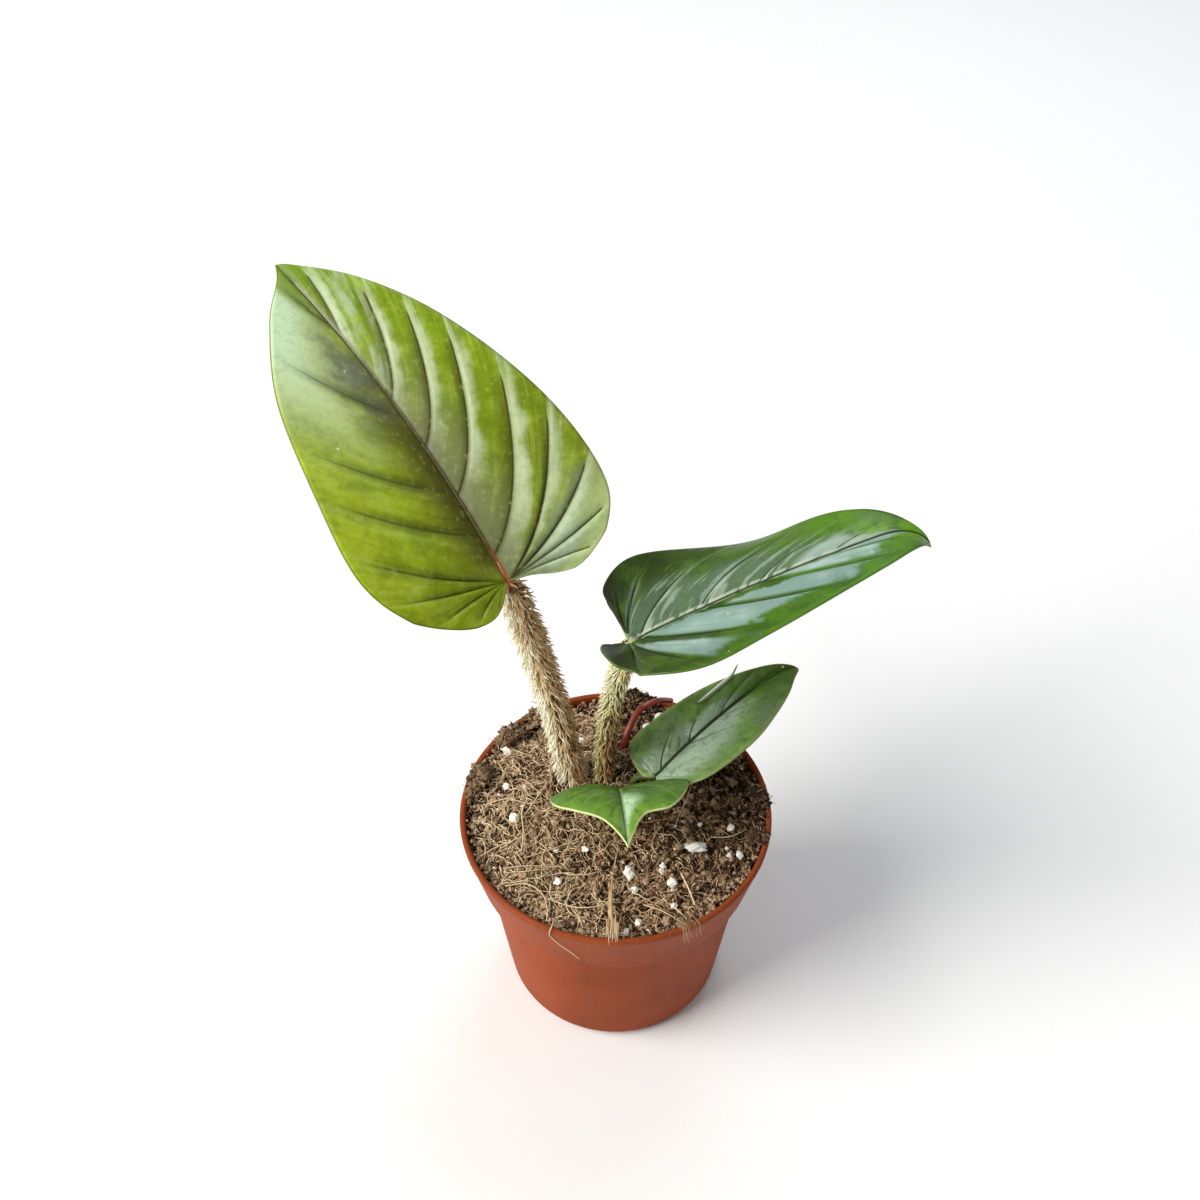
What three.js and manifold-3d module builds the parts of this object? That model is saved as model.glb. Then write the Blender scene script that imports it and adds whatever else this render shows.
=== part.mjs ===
// Potted Philodendron serpens: a young aroid with four leaves in a 12 cm
// terracotta-coloured nursery pot. Millimetres, +Z up, the pot's underside
// at z = 0 and its axis on the Z axis. Seen from the front, looking along
// +Y, the big leaf stands up to the left and the long leaf reaches right.
import * as THREE from 'three';
import { mergeVertices } from 'three/addons/utils/BufferGeometryUtils.js';
import Module from 'manifold-3d';

const wasm = await Module();
wasm.setup();
const { Manifold } = wasm;

// Driving dimensions of the pot
const POT_HEIGHT = 95;
const RIM_RADIUS = 60;
const COLLAR_HEIGHT = 24.5;
const COLLAR_RADIUS = 54.8;
const BODY_TOP_RADIUS = 51.4;
const BASE_RADIUS = 44.2;
const BASE_ROUNDING = 5.5;
const WALL = 1.7;
const POT_FACETS = 48;
const DRAIN_HOLES = 8;
const DRAIN_CIRCLE = 30;
const DRAIN_RADIUS = 4;

// Driving dimensions of the soil
const FIT_GAP = 0.3;
const SOIL_EDGE = 92;
const SOIL_DOME = 1.8;
const SOIL_LUMP = 1.1;

// Driving dimensions of the plant
const STEM_CORE = 2.9;
const LONG_BRISTLE = 6.4;
const SHORT_BRISTLE = 4.2;
const BRISTLE_WIDTH = 1.15;
const BLADE_THICKNESS = 0.7;
const THIN_STEM = 1.4;
const SHEATH_RADIUS = 1.3;

// Perlite grains that show on the soil: x, y, width and, where it is much less, depth over width
const PERLITE = [
  [30, -18.4, 8.2, 0.55], [43.9, -8.7, 3.3], [46.5, -21, 3], [5, -30, 4.6], [6.8, -37, 3],
  [17.4, -27, 2.8], [20.5, -34, 3.2], [-21.5, -33, 2.6], [-39, -4.4, 3.6], [-43, 11.6, 2.5],
  [-43, 29, 3.8], [-44.5, 31.5, 2.7], [-14, 34, 3.2], [-10.5, 4.5, 3.8], [18.2, 46.9, 3.6],
  [13, 41, 3.3], [21, -43.6, 2.8], [8, -50, 2.7],
];

// Where stems and their bristles stand on the soil: x, y and reach
const STEM_FEET = [[-16, 16.5, 9], [-4.4, 17, 9], [6, 12.5, 3], [-0.5, 8.5, 3], [3.3, 29, 3]];

// Clumps of peat pushed up against the lip: angle in degrees and width
const RIM_CLUMPS = [[165, 9], [140, 9], [82, 11], [3, 8], [-14, 6], [122, 8]];

// Repeatable random numbers from a seed
function randomFrom(seed) {
  let state = seed;
  return () => {
    state = (state * 1664525 + 1013904223) % 4294967296;
    return state / 4294967296;
  };
}

const v3 = (x, y, z) => new THREE.Vector3(x, y, z);

// Turns a closed surface into a solid, without seams or empty triangles
function solid(geometry) {
  const g = geometry.clone();
  g.deleteAttribute('normal');
  g.deleteAttribute('uv');
  const merged = mergeVertices(g, 1e-3);
  const index = [];
  for (let i = 0; i < merged.index.count; i += 3) {
    const [a, b, c] = [0, 1, 2].map((k) => merged.index.getX(i + k));
    if (a !== b && b !== c && c !== a) index.push(a, b, c);
  }
  return new Manifold(new wasm.Mesh({
    numProp: 3,
    vertProperties: new Float32Array(merged.attributes.position.array),
    triVerts: new Uint32Array(index),
  }));
}

// Keeps the main body and drops loose scrap and sealed hollows
function mainBody(body) {
  const pieces = body.decompose();
  pieces.sort((a, b) => b.volume() - a.volume());
  return pieces[0];
}

function geometryOf(body) {
  const mesh = body.getMesh();
  const g = new THREE.BufferGeometry();
  g.setAttribute('position', new THREE.BufferAttribute(new Float32Array(mesh.vertProperties), 3));
  g.setIndex(new THREE.BufferAttribute(new Uint32Array(mesh.triVerts), 1));
  return g;
}

const fuse = (bodies) => bodies.reduce((all, next) => all.add(next));

const group = new THREE.Group();
group.name = 'potted_philodendron';

function addPart(name, body, color, roughness) {
  const material = new THREE.MeshStandardMaterial({ color, roughness, metalness: 0 });
  const mesh = new THREE.Mesh(geometryOf(body), material);
  mesh.name = name;
  group.add(mesh);
}

// The pot: outline from the base up the outside, over the lip, down inside
function potProfile(swell) {
  const step = POT_HEIGHT - COLLAR_HEIGHT;
  return [
    [0, -swell],
    [BASE_RADIUS - BASE_ROUNDING, -swell],
    [BASE_RADIUS - 1.5, 1.5],
    [BASE_RADIUS + swell, BASE_ROUNDING],
    [BODY_TOP_RADIUS + swell, step - 2.5],
    [COLLAR_RADIUS + swell, step],
    [RIM_RADIUS - 0.3 + swell, POT_HEIGHT - 2.2],
    [RIM_RADIUS + swell, POT_HEIGHT - 1],
    [RIM_RADIUS - 0.6, POT_HEIGHT + swell],
    [RIM_RADIUS - 1.7, POT_HEIGHT + swell],
    [RIM_RADIUS - 2.3 - swell, POT_HEIGHT - 0.9],
    [RIM_RADIUS - 2.3 - swell, POT_HEIGHT - 2.2],
    [COLLAR_RADIUS - WALL - swell, step],
    [BODY_TOP_RADIUS - WALL - swell, step - 2.5],
    [BASE_RADIUS - WALL - swell, BASE_ROUNDING],
    [BASE_RADIUS - BASE_ROUNDING, WALL + 0.4 + swell],
    [0, WALL + 0.4 + swell],
  ].map(([r, z]) => new THREE.Vector2(r, z));
}

function turned(profile, segments) {
  const lathe = new THREE.LatheGeometry(profile, segments);
  lathe.rotateX(Math.PI / 2);
  const body = solid(lathe);
  return body.volume() < 0 ? solid(flipped(lathe)) : body;
}

function flipped(geometry) {
  const g = geometry.clone();
  const index = Array.from(g.index.array);
  for (let i = 0; i < index.length; i += 3) {
    [index[i], index[i + 1]] = [index[i + 1], index[i]];
  }
  g.setIndex(index);
  return g;
}

function buildPot() {
  let pot = turned(potProfile(0), POT_FACETS);
  for (let i = 0; i < DRAIN_HOLES; i++) {
    const angle = (i / DRAIN_HOLES) * 2 * Math.PI;
    const drill = new THREE.CylinderGeometry(DRAIN_RADIUS, DRAIN_RADIUS, 10, 16);
    drill.rotateX(Math.PI / 2);
    drill.translate(DRAIN_CIRCLE * Math.cos(angle), DRAIN_CIRCLE * Math.sin(angle), 0);
    pot = pot.subtract(solid(drill));
  }
  return pot;
}

// The soil: a low dome with a lumpy top
const lumpRandom = randomFrom(7);
const LUMPS = Array.from({ length: 60 }, () => {
  const r = 55 * Math.sqrt(lumpRandom());
  const a = 2 * Math.PI * lumpRandom();
  const height = SOIL_LUMP * (2 * lumpRandom() - 0.8);
  return [r * Math.cos(a), r * Math.sin(a), 4 + 5 * lumpRandom(), height];
});

function soilHeight(x, y) {
  const edge = Math.hypot(x, y) / (RIM_RADIUS - 2);
  let z = SOIL_EDGE + SOIL_DOME * (1 - edge * edge);
  for (const [lx, ly, width, height] of LUMPS) {
    const d = Math.hypot(x - lx, y - ly) / width;
    z += height * Math.exp(-d * d);
  }
  return z;
}

function soilBlock() {
  const rings = 9;
  const around = POT_FACETS;
  const top = POT_HEIGHT + 8;
  const under = [[0, 2.4], [38.4, 2.4], [42, 6], [49.2, 67.6], [52.5, 70.8], [57.1, 91]];
  const block = turned([...under, [57.1, top], [0, top]].map(([r, z]) => new THREE.Vector2(r, z)), around);
  const points = [];
  const index = [];
  for (let i = 0; i <= rings; i++) {
    for (let k = 0; k < around; k++) {
      const r = (i / rings) * 62;
      const a = ((k + 0.5 * (i % 2)) / around) * 2 * Math.PI;
      const [x, y] = [r * Math.cos(a), r * Math.sin(a)];
      points.push(x, y, soilHeight(x, y));
    }
  }
  const at = (i, k) => i * around + (k % around);
  for (let i = 0; i < rings; i++) {
    for (let k = 0; k < around; k++) {
      const lead = i % 2;
      const [a, b] = [at(i, k), at(i, k + 1)];
      const [c, d] = [at(i + 1, k), at(i + 1, k + 1)];
      if (lead) index.push(a, c, d, a, d, b);
      else index.push(a, c, b, c, d, b);
    }
  }
  return block.intersect(curtain(points, index, -20));
}

// Closes an open height field down to a flat floor
function curtain(points, index, floor) {
  const count = points.length / 3;
  const all = [...points];
  for (let i = 0; i < count; i++) all.push(points[3 * i], points[3 * i + 1], floor);
  const faces = [...index];
  for (let i = 0; i < index.length; i += 3) {
    faces.push(index[i] + count, index[i + 2] + count, index[i + 1] + count);
  }
  for (const [a, b] of rimEdges(points, index)) faces.push(a, a + count, b, b, a + count, b + count);
  const g = new THREE.BufferGeometry();
  g.setAttribute('position', new THREE.Float32BufferAttribute(all, 3));
  g.setIndex(faces);
  return solid(g);
}

// The edges that only one triangle uses, with coinciding points told apart by place
function rimEdges(points, index) {
  const key = (i) => [0, 1, 2].map((k) => points[3 * i + k].toFixed(3)).join(' ');
  const seen = new Map();
  for (let i = 0; i < index.length; i += 3) {
    for (let k = 0; k < 3; k++) {
      const [a, b] = [index[i + k], index[i + ((k + 1) % 3)]];
      if (key(a) === key(b)) continue;
      const back = `${key(b)}|${key(a)}`;
      if (seen.has(back)) seen.delete(back);
      else seen.set(`${key(a)}|${key(b)}`, [a, b]);
    }
  }
  return [...seen.values()];
}

// Nothing loose lies where a stem and its bristles come out of the soil
function nearStem(x, y, margin) {
  return STEM_FEET.some(([fx, fy, reach]) => Math.hypot(x - fx, y - fy) < reach + margin);
}

// A rough grain: an icosahedron, flattened and turned at random
function grain(x, y, z, width, random, flat = 0.75, narrow = 1) {
  const g = new THREE.IcosahedronGeometry(width / 2, 0);
  g.scale(0.8 + 0.4 * random(), 0.8 + 0.4 * random(), flat);
  g.rotateZ(6.28 * random());
  g.scale(1, narrow, 1);
  g.translate(x, y, z);
  return solid(g);
}

// A coarse coir fibre lying on the soil, sunk at both ends
function fibre(x, y, angle, length, bow, random) {
  const stops = [0, 0.3, 0.65, 1].map((s) => {
    const along = (s - 0.5) * length;
    const side = bow * Math.sin(Math.PI * s);
    const px = x + along * Math.cos(angle) - side * Math.sin(angle);
    const py = y + along * Math.sin(angle) + side * Math.cos(angle);
    const lift = s === 0 || s === 1 ? -1.2 : 0.5 + 0.9 * random();
    return v3(px, py, soilHeight(px, py) + lift);
  });
  return rod(new THREE.CatmullRomCurve3(stops), 0.45, 3, 4);
}

function rod(curve, radius, sides, steps) {
  const shape = new THREE.Shape();
  for (let i = 0; i <= sides; i++) {
    const a = (i / sides) * 2 * Math.PI;
    if (i === 0) shape.moveTo(radius, 0);
    else shape.lineTo(radius * Math.cos(a), radius * Math.sin(a));
  }
  return solid(new THREE.ExtrudeGeometry(shape, { steps, extrudePath: curve }));
}

function buildSoil(clearances) {
  const random = randomFrom(31);
  const bodies = [soilBlock()];
  for (const [x, y, width, narrow = 1] of PERLITE) {
    const flat = 0.75 * narrow;
    bodies.push(grain(x, y, soilHeight(x, y) + 0.12 * width * flat, width, random, flat, narrow));
  }
  for (let i = 0; i < 24; i++) {
    const r = 51 * Math.sqrt(random());
    const a = 6.28 * random();
    const [x, y] = [r * Math.cos(a), r * Math.sin(a)];
    const width = 2.6 + 4 * random() * random();
    if (nearStem(x, y, width / 2)) continue;
    bodies.push(grain(x, y, soilHeight(x, y) + 0.1 * width, width, random));
  }
  for (const [degrees, width] of RIM_CLUMPS) {
    const a = THREE.MathUtils.degToRad(degrees);
    const r = RIM_RADIUS - 3.6;
    const clump = grain(r * Math.cos(a), r * Math.sin(a), POT_HEIGHT, width, random, 0.7);
    bodies.push(clump.subtract(turned(potProfile(FIT_GAP), POT_FACETS)));
  }
  for (let i = 0; i < 22; i++) {
    const r = 44 * Math.sqrt(random());
    const a = 6.28 * random();
    const bow = 10 * (random() - 0.5);
    const [x, y] = [r * Math.cos(a), r * Math.sin(a)];
    const turn = 6.28 * random();
    const length = 12 + 16 * random();
    const near = [-0.5, -0.25, 0, 0.25, 0.5].some((k) =>
      nearStem(x + k * length * Math.cos(turn), y + k * length * Math.sin(turn), 5));
    if (near) continue;
    bodies.push(fibre(x, y, turn, length, bow, random));
  }
  let soil = fuse(bodies);
  for (const hole of clearances) soil = soil.subtract(hole);
  return mainBody(soil);
}

// Half outlines of a blade, from the sinus round the lobe to the tip: the
// distance from the midrib over the half width, and the distance along the
// blade over its length. A wave lifts or drops the margin: where along the
// blade, how far it spreads and how high it stands. Near the tip a blade can
// hook downward and sideways. Veins are the places round the margin where the
// lateral veins end, and faint lists those that don't show on a half.
const BLADES = {
  leaf_a: {
    base: [-38, 19, 196.5],
    length: 142,
    left: { width: 54.5, lobe: 0.71, fold: 21, curl: -11, outline: [
      [0, 0], [0.24, -0.1], [0.52, -0.1], [0.84, 0], [1.01, 0.14],
      [0.94, 0.36], [0.74, 0.63], [0.39, 0.84], [0.1, 0.95], [0, 1]],
      faint: [8, 10], fan: 0.5, gather: 0.95 },
    right: { width: 49, lobe: 0.72, fold: 20, curl: -9, outline: [
      [0, 0], [0.19, -0.02], [0.5, -0.07], [0.85, 0.01], [1.01, 0.12],
      [0.95, 0.34], [0.69, 0.62], [0.4, 0.82], [0.1, 0.96], [0, 1]] },
    yaw: 127.5, pitch: 37.4, roll: -5, droop: 15, sweep: 10.5, twist: 15.5, lobeLift: -11,
    hookPitch: 0, hookYaw: 0, fan: 0.6, gather: 0.85,
    veins: [0, 0.1, 0.19, 0.285, 0.39, 0.483, 0.558, 0.617, 0.675, 0.73, 0.79, 0.88, 1],
    quilt: 1.8, color: 0x71912f, roughness: 0.42,
  },
  leaf_b: {
    base: [4.4, 14.1, 171.6],
    length: 121.3,
    left: { width: 37, lobe: 0.79, fold: 10, curl: -3.1, outline: [
      [0, 0], [0.22, 0.01], [0.56, -0.02], [0.85, -0.01], [1.06, 0.1],
      [0.89, 0.31], [0.69, 0.61], [0.39, 0.81], [0.1, 0.93], [0, 1]],
      waves: [[0.54, 0.24, -15.7], [0.88, 0.15, 6.4]] },
    right: { width: 33.2, lobe: 1, fold: 7.1, curl: -5.7, outline: [
      [0, 0], [-0.034, -0.083], [0.43, -0.125], [0.61, -0.054], [1.02, 0.1],
      [0.9, 0.34], [0.68, 0.61], [0.41, 0.87], [0.1, 0.98], [0, 1]],
      waves: [[0, 0.15, 5.7]], faint: [1, 2] },
    yaw: 15.3, pitch: 22.5, roll: 10.1, droop: 21.4, sweep: 8.5, twist: -4.2, lobeLift: -86.8,
    hookPitch: 57.1, hookYaw: -48.5, fan: 0.58, gather: 1.1,
    veins: [0, 0.13, 0.26, 0.38, 0.49, 0.6, 0.69, 0.77, 0.86, 1], quilt: 1.5, color: 0x2f5a34, roughness: 0.25,
  },
  leaf_c: {
    base: [15.6, 9.3, 102.4],
    length: 80.4,
    left: { width: 17, lobe: 0.3, fold: 16.4, curl: 3.1, outline: [
      [0, 0], [0.22, -0.12], [0.53, -0.09], [0.84, 0.01], [1.06, 0.07],
      [0.9, 0.35], [0.69, 0.56], [0.37, 0.8], [0.1, 0.96], [0, 1]] },
    right: { width: 26, lobe: 0.3, fold: 21, curl: -5.1, outline: [
      [0, 0], [0.22, -0.1], [0.55, -0.15], [0.83, 0.01], [1.03, 0.13],
      [0.97, 0.38], [0.71, 0.62], [0.4, 0.84], [0.12, 0.98], [0, 1]] },
    yaw: 44.1, pitch: 17.5, roll: 17.3, droop: 26.4, sweep: -2, twist: -32.3, lobeLift: 0,
    hookPitch: 0, hookYaw: -25.8, fan: 0.58, gather: 1.1,
    veins: [0, 0.22, 0.44, 0.6, 0.69, 0.78, 0.88, 1], quilt: 0.9, color: 0x5c7b55, roughness: 0.35,
  },
  leaf_d: {
    base: [1.2, -4.6, 111.7],
    length: 39,
    left: { width: 25, lobe: 0.9, fold: 12, curl: -6, outline: [
      [0, 0], [0.23, -0.08], [0.55, -0.13], [0.86, -0.07], [1.01, 0.12],
      [0.95, 0.37], [0.69, 0.6], [0.3, 0.66], [0.06, 0.92], [0, 1]] },
    right: { width: 25.8, lobe: 1.1, fold: 12.6, curl: -37, outline: [
      [0, 0], [0.22, -0.13], [0.55, -0.15], [0.85, -0.04], [1.03, 0.11],
      [0.96, 0.39], [0.69, 0.57], [0.31, 0.72], [0.07, 0.92], [0, 1]] },
    yaw: -87, pitch: 46.5, roll: 2, droop: 53, sweep: 2.8, twist: 4.5, lobeLift: -6,
    hookPitch: 0, hookYaw: 0, fan: 0.58, gather: 1.3,
    veins: [0, 0.2, 0.4, 0.6, 0.8, 1], quilt: 0.7, color: 0x4f8a3a, roughness: 0.35,
  },
};

const rad = THREE.MathUtils.degToRad;

// The midrib of a blade: a place and three directions at a distance y from the base
function midrib(leaf) {
  const frameAt = (y) => {
    const u = Math.max(y / leaf.length, 0);
    const behind = Math.max(-y / leaf.length, 0) / 0.15;
    const hook = Math.max((u - 0.78) / 0.22, 0) ** 2;
    const pitch = rad(leaf.pitch - leaf.droop * u - leaf.hookPitch * hook + leaf.lobeLift * behind);
    const yaw = rad(leaf.yaw + leaf.sweep * u + leaf.hookYaw * hook);
    const roll = rad(leaf.roll + leaf.twist * u);
    const along = v3(Math.cos(pitch) * Math.cos(yaw), Math.cos(pitch) * Math.sin(yaw), Math.sin(pitch));
    const level = v3(Math.sin(yaw), -Math.cos(yaw), 0);
    const normal = level.clone().cross(along);
    const across = level.multiplyScalar(Math.cos(roll)).addScaledVector(normal, Math.sin(roll));
    return { along, across, up: across.clone().cross(along) };
  };
  return (y) => {
    const steps = 24;
    const place = v3(...leaf.base);
    for (let i = 0; i < steps; i++) {
      place.addScaledVector(frameAt((y * (i + 0.5)) / steps).along, y / steps);
    }
    return { place, ...frameAt(y) };
  };
}

// A point of the blade: side is +1 for the right half and -1 for the left
function bladePoint(leaf, side, x, y, height) {
  const half = side > 0 ? leaf.right : leaf.left;
  const bend = rad(half.curl) / half.width;
  const fold = rad(half.fold);
  const reach = (Math.sin(fold + bend * x) - Math.sin(fold)) / bend;
  let rise = (Math.cos(fold) - Math.cos(fold + bend * x)) / bend;
  for (const [centre, spread, lift] of half.waves ?? []) {
    const d = (y / leaf.length - centre) / spread;
    rise += lift * (x / half.width) ** 2 * Math.exp(-d * d);
  }
  const { place, across, up } = leaf.frame(y);
  return place.addScaledVector(across, side * reach).addScaledVector(up, rise + height);
}

// The point where a lateral vein at t leaves the midrib, over the blade's
// length. The veins before the fan value all spring from the base. A half
// may have its own fan and gather values, without a half the leaf's apply.
function veinStart(leaf, half, t) {
  const fan = half?.fan ?? leaf.fan;
  return t < fan ? 0 : Math.pow((t - fan) / (1 - fan), half?.gather ?? leaf.gather);
}

// Each half blade is a grid of rows that run out along the lateral veins.
// Rows at veins lie low, the rows between them stand up as quilting.
function halfBlade(leaf, side, points, index, columns) {
  const half = side > 0 ? leaf.right : leaf.left;
  const outline = new THREE.SplineCurve(half.outline.map(([x, y]) => new THREE.Vector2(x, y)));
  const rows = (leaf.veins.length - 1) * 2;
  const first = points.length / 3;
  for (let i = 0; i <= rows; i++) {
    const k = Math.floor(i / 2);
    const between = i % 2 === 1;
    const t = between ? (leaf.veins[k] + leaf.veins[k + 1]) / 2 : leaf.veins[k];
    const edge = outline.getPoint(t);
    // A lobe may reach past the midrib's line, behind the sinus
    const edgeX = (t < 0.3 ? edge.x : Math.max(edge.x, 0)) * half.width;
    const edgeY = edge.y * leaf.length * (edge.y < 0 ? half.lobe : 1);
    const startY = veinStart(leaf, half, t) * leaf.length;
    const bendX = 0.55 * edgeX;
    const bendY = startY + 0.22 * (edgeY - startY);
    for (let c = 0; c <= columns; c++) {
      const v = c / columns;
      const x = 2 * v * (1 - v) * bendX + v * v * edgeX;
      // Both halves have the same points on the midrib, which joins them
      const y = c === 0
        ? veinStart(leaf, null, t) * leaf.length
        : (1 - v) * (1 - v) * startY + 2 * v * (1 - v) * bendY + v * v * edgeY;
      const spread = Math.min(1, (4 * x) / half.width) * (1 - v * v);
      const height = between || half.faint?.includes(k) ? leaf.quilt * spread : 0;
      points.push(...bladePoint(leaf, side, x, y, height).toArray());
    }
  }
  for (let i = 0; i < rows; i++) {
    for (let k = 0; k < columns; k++) {
      const a = first + i * (columns + 1) + k;
      const b = a + columns + 1;
      if (side > 0) index.push(a, a + 1, b + 1, a, b + 1, b);
      else index.push(a, b + 1, a + 1, a, b, b + 1);
    }
  }
}

// A closed blade: the same triangles above and below, walled round the margin
function buildBlade(leaf, thickness) {
  const points = [];
  const index = [];
  halfBlade(leaf, 1, points, index, 6);
  halfBlade(leaf, -1, points, index, 6);
  const sheet = new THREE.BufferGeometry();
  sheet.setAttribute('position', new THREE.Float32BufferAttribute(points, 3));
  sheet.setIndex(index);
  const skin = mergeVertices(sheet, 1e-2);
  const faces = [];
  for (let i = 0; i < skin.index.count; i += 3) {
    const [a, b, c] = [0, 1, 2].map((k) => skin.index.getX(i + k));
    if (a !== b && b !== c && c !== a) faces.push(a, b, c);
  }
  skin.setIndex(faces);
  skin.computeVertexNormals();
  const place = Array.from(skin.attributes.position.array);
  const normal = skin.attributes.normal.array;
  const count = place.length / 3;
  const shifted = (s) => place.map((value, i) => value + (s * thickness * normal[i]) / 2);
  const slab = new THREE.BufferGeometry();
  slab.setAttribute('position', new THREE.Float32BufferAttribute([...shifted(1), ...shifted(-1)], 3));
  const closed = [...faces];
  for (let i = 0; i < faces.length; i += 3) {
    closed.push(faces[i] + count, faces[i + 2] + count, faces[i + 1] + count);
  }
  for (const [a, b] of rimEdges(place, faces)) {
    closed.push(a, a + count, b, b, a + count, b + count);
  }
  slab.setIndex(closed);
  return solid(slab);
}

// Centre lines of the stems, from inside the soil to the blade
const STEM_A = [
  [-15, 16, 84], [-15.9, 16.3, 93], [-18.6, 17.5, 107], [-22.2, 19, 130],
  [-28.9, 19.9, 161], [-34.4, 19.5, 185], [-38, 19, 196.5],
];
const STEM_B = [
  [-4.5, 16.8, 84], [-4.4, 16.8, 93], [-3.3, 17.1, 115], [-1.2, 16.7, 138.6],
  [3, 15.2, 162.8], [4.4, 14.1, 171.6],
];
const STEM_C = [[5.5, 13.5, 85], [6.2, 13.4, 92], [9, 12.5, 98], [15.6, 9.3, 102.4]];
const STEM_D = [[-0.5, 8.5, 85], [-0.5, 7.5, 94], [0.3, 0.5, 101], [1.2, -4.6, 111.7]];
const SHEATH = [
  [3.2, 26.5, 84], [3.3, 29.2, 93], [4.6, 32.5, 99.5], [8.8, 39.3, 105],
  [12.9, 42.7, 106], [17.9, 47.1, 104], [23.2, 52.5, 98],
];

const curveThrough = (stops) => new THREE.CatmullRomCurve3(stops.map((p) => v3(...p)));

// One soft bristle: a three-sided spike from inside the stem, out and down
function bristle(curve, s, angle, length, random) {
  const centre = curve.getPointAt(s);
  const axis = curve.getTangentAt(s);
  const side = v3(0, 1, 0).cross(axis).normalize();
  const out = side.applyAxisAngle(axis, angle);
  const droop = 0.85 + 0.5 * random();
  const foot = centre.clone().addScaledVector(out, STEM_CORE - 1.1);
  let direction = out.clone().addScaledVector(axis, -droop).normalize();
  const tip = foot.clone().addScaledVector(direction, length + 1.1);
  if (tip.z < soilHeight(tip.x, tip.y) + 1.2) {
    direction = out.clone().addScaledVector(axis, 0.1).normalize();
  }
  if (foot.z < soilHeight(tip.x, tip.y) + 1.5) return null;
  const spike = new THREE.ConeGeometry(BRISTLE_WIDTH / 2, length + 1.1, 3, 1);
  spike.translate(0, (length + 1.1) / 2, 0);
  spike.applyQuaternion(new THREE.Quaternion().setFromUnitVectors(v3(0, 1, 0), direction));
  spike.translate(foot.x, foot.y, foot.z);
  return solid(spike);
}

// A petiole clothed in bristles, cut off square just under its blade
function hairyStem(stops, count, length, leaf, seed) {
  const random = randomFrom(seed);
  const curve = curveThrough(stops);
  const bodies = [rod(curve, STEM_CORE, 9, 9)];
  for (let i = 0; i < count; i++) {
    const s = 0.11 + (0.86 * (i + 0.5)) / count;
    const angle = i * 2.39996 + 0.5 * random();
    const spike = bristle(curve, s, angle, length * (0.8 + 0.4 * random()), random);
    if (spike) bodies.push(spike);
  }
  return mainBody(trimUnder(fuse(bodies), leaf));
}

// Cuts a stem clear of the blade that it carries
function trimUnder(body, leaf) {
  const { place, up } = leaf.frame(0);
  const below = up.clone().negate();
  const offset = place.dot(below) + BLADE_THICKNESS / 2 + FIT_GAP;
  const trimmed = body.trimByPlane(below.toArray(), offset);
  return trimmed.subtract(buildBlade(leaf, BLADE_THICKNESS + 2 * FIT_GAP));
}

for (const leaf of Object.values(BLADES)) leaf.frame = midrib(leaf);

// The short creeping stem at soil level that all the leaves grow from
function crownBody(swell) {
  const line = new THREE.CatmullRomCurve3([v3(-22, 18, 86), v3(-8, 15, 88), v3(4, 14, 88), v3(12, 17, 86)]);
  return rod(line, 5 + swell, 8, 6);
}

const stemLines = {
  petiole_a: [STEM_A, STEM_CORE],
  petiole_b: [STEM_B, STEM_CORE],
  petiole_c: [STEM_C, THIN_STEM],
  petiole_d: [STEM_D, THIN_STEM],
  new_leaf_sheath: [SHEATH, SHEATH_RADIUS],
};

// Plain holes for the stems: each follows its stem with a small gap all round
function stemHole([stops, radius]) {
  const line = stops.map((p) => v3(...p));
  const sunk = line[0].clone().sub(line[1]).setLength(2 * FIT_GAP);
  line.unshift(line[0].clone().add(sunk));
  return rod(new THREE.CatmullRomCurve3(line), radius + FIT_GAP + 0.1, 12, 16);
}

const stemHoles = Object.values(stemLines).map(stemHole);
const crown = stemHoles.reduce((body, hole) => body.subtract(hole), crownBody(0));

addPart('pot', buildPot(), 0xb5563a, 0.5);
addPart('soil', buildSoil([crownBody(FIT_GAP), ...stemHoles]), 0x6b5138, 0.95);
addPart('creeping_stem', mainBody(crown), 0x7d7a45, 0.7);
addPart('petiole_a', hairyStem(STEM_A, 300, LONG_BRISTLE, BLADES.leaf_a, 11), 0xd9c58c, 0.8);
addPart('petiole_b', hairyStem(STEM_B, 220, SHORT_BRISTLE, BLADES.leaf_b, 12), 0xd9c58c, 0.8);
addPart('petiole_c', mainBody(trimUnder(rod(curveThrough(STEM_C), THIN_STEM, 8, 8), BLADES.leaf_c)), 0x7c8f4a, 0.5);
addPart('petiole_d', mainBody(trimUnder(rod(curveThrough(STEM_D), THIN_STEM, 8, 8), BLADES.leaf_d)), 0x7c8f4a, 0.5);
addPart('new_leaf_sheath', rod(curveThrough(SHEATH), SHEATH_RADIUS, 8, 14), 0x9c3f30, 0.4);
for (const [name, leaf] of Object.entries(BLADES)) {
  addPart(name, buildBlade(leaf, BLADE_THICKNESS), leaf.color, leaf.roughness);
}

export default group;
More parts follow.
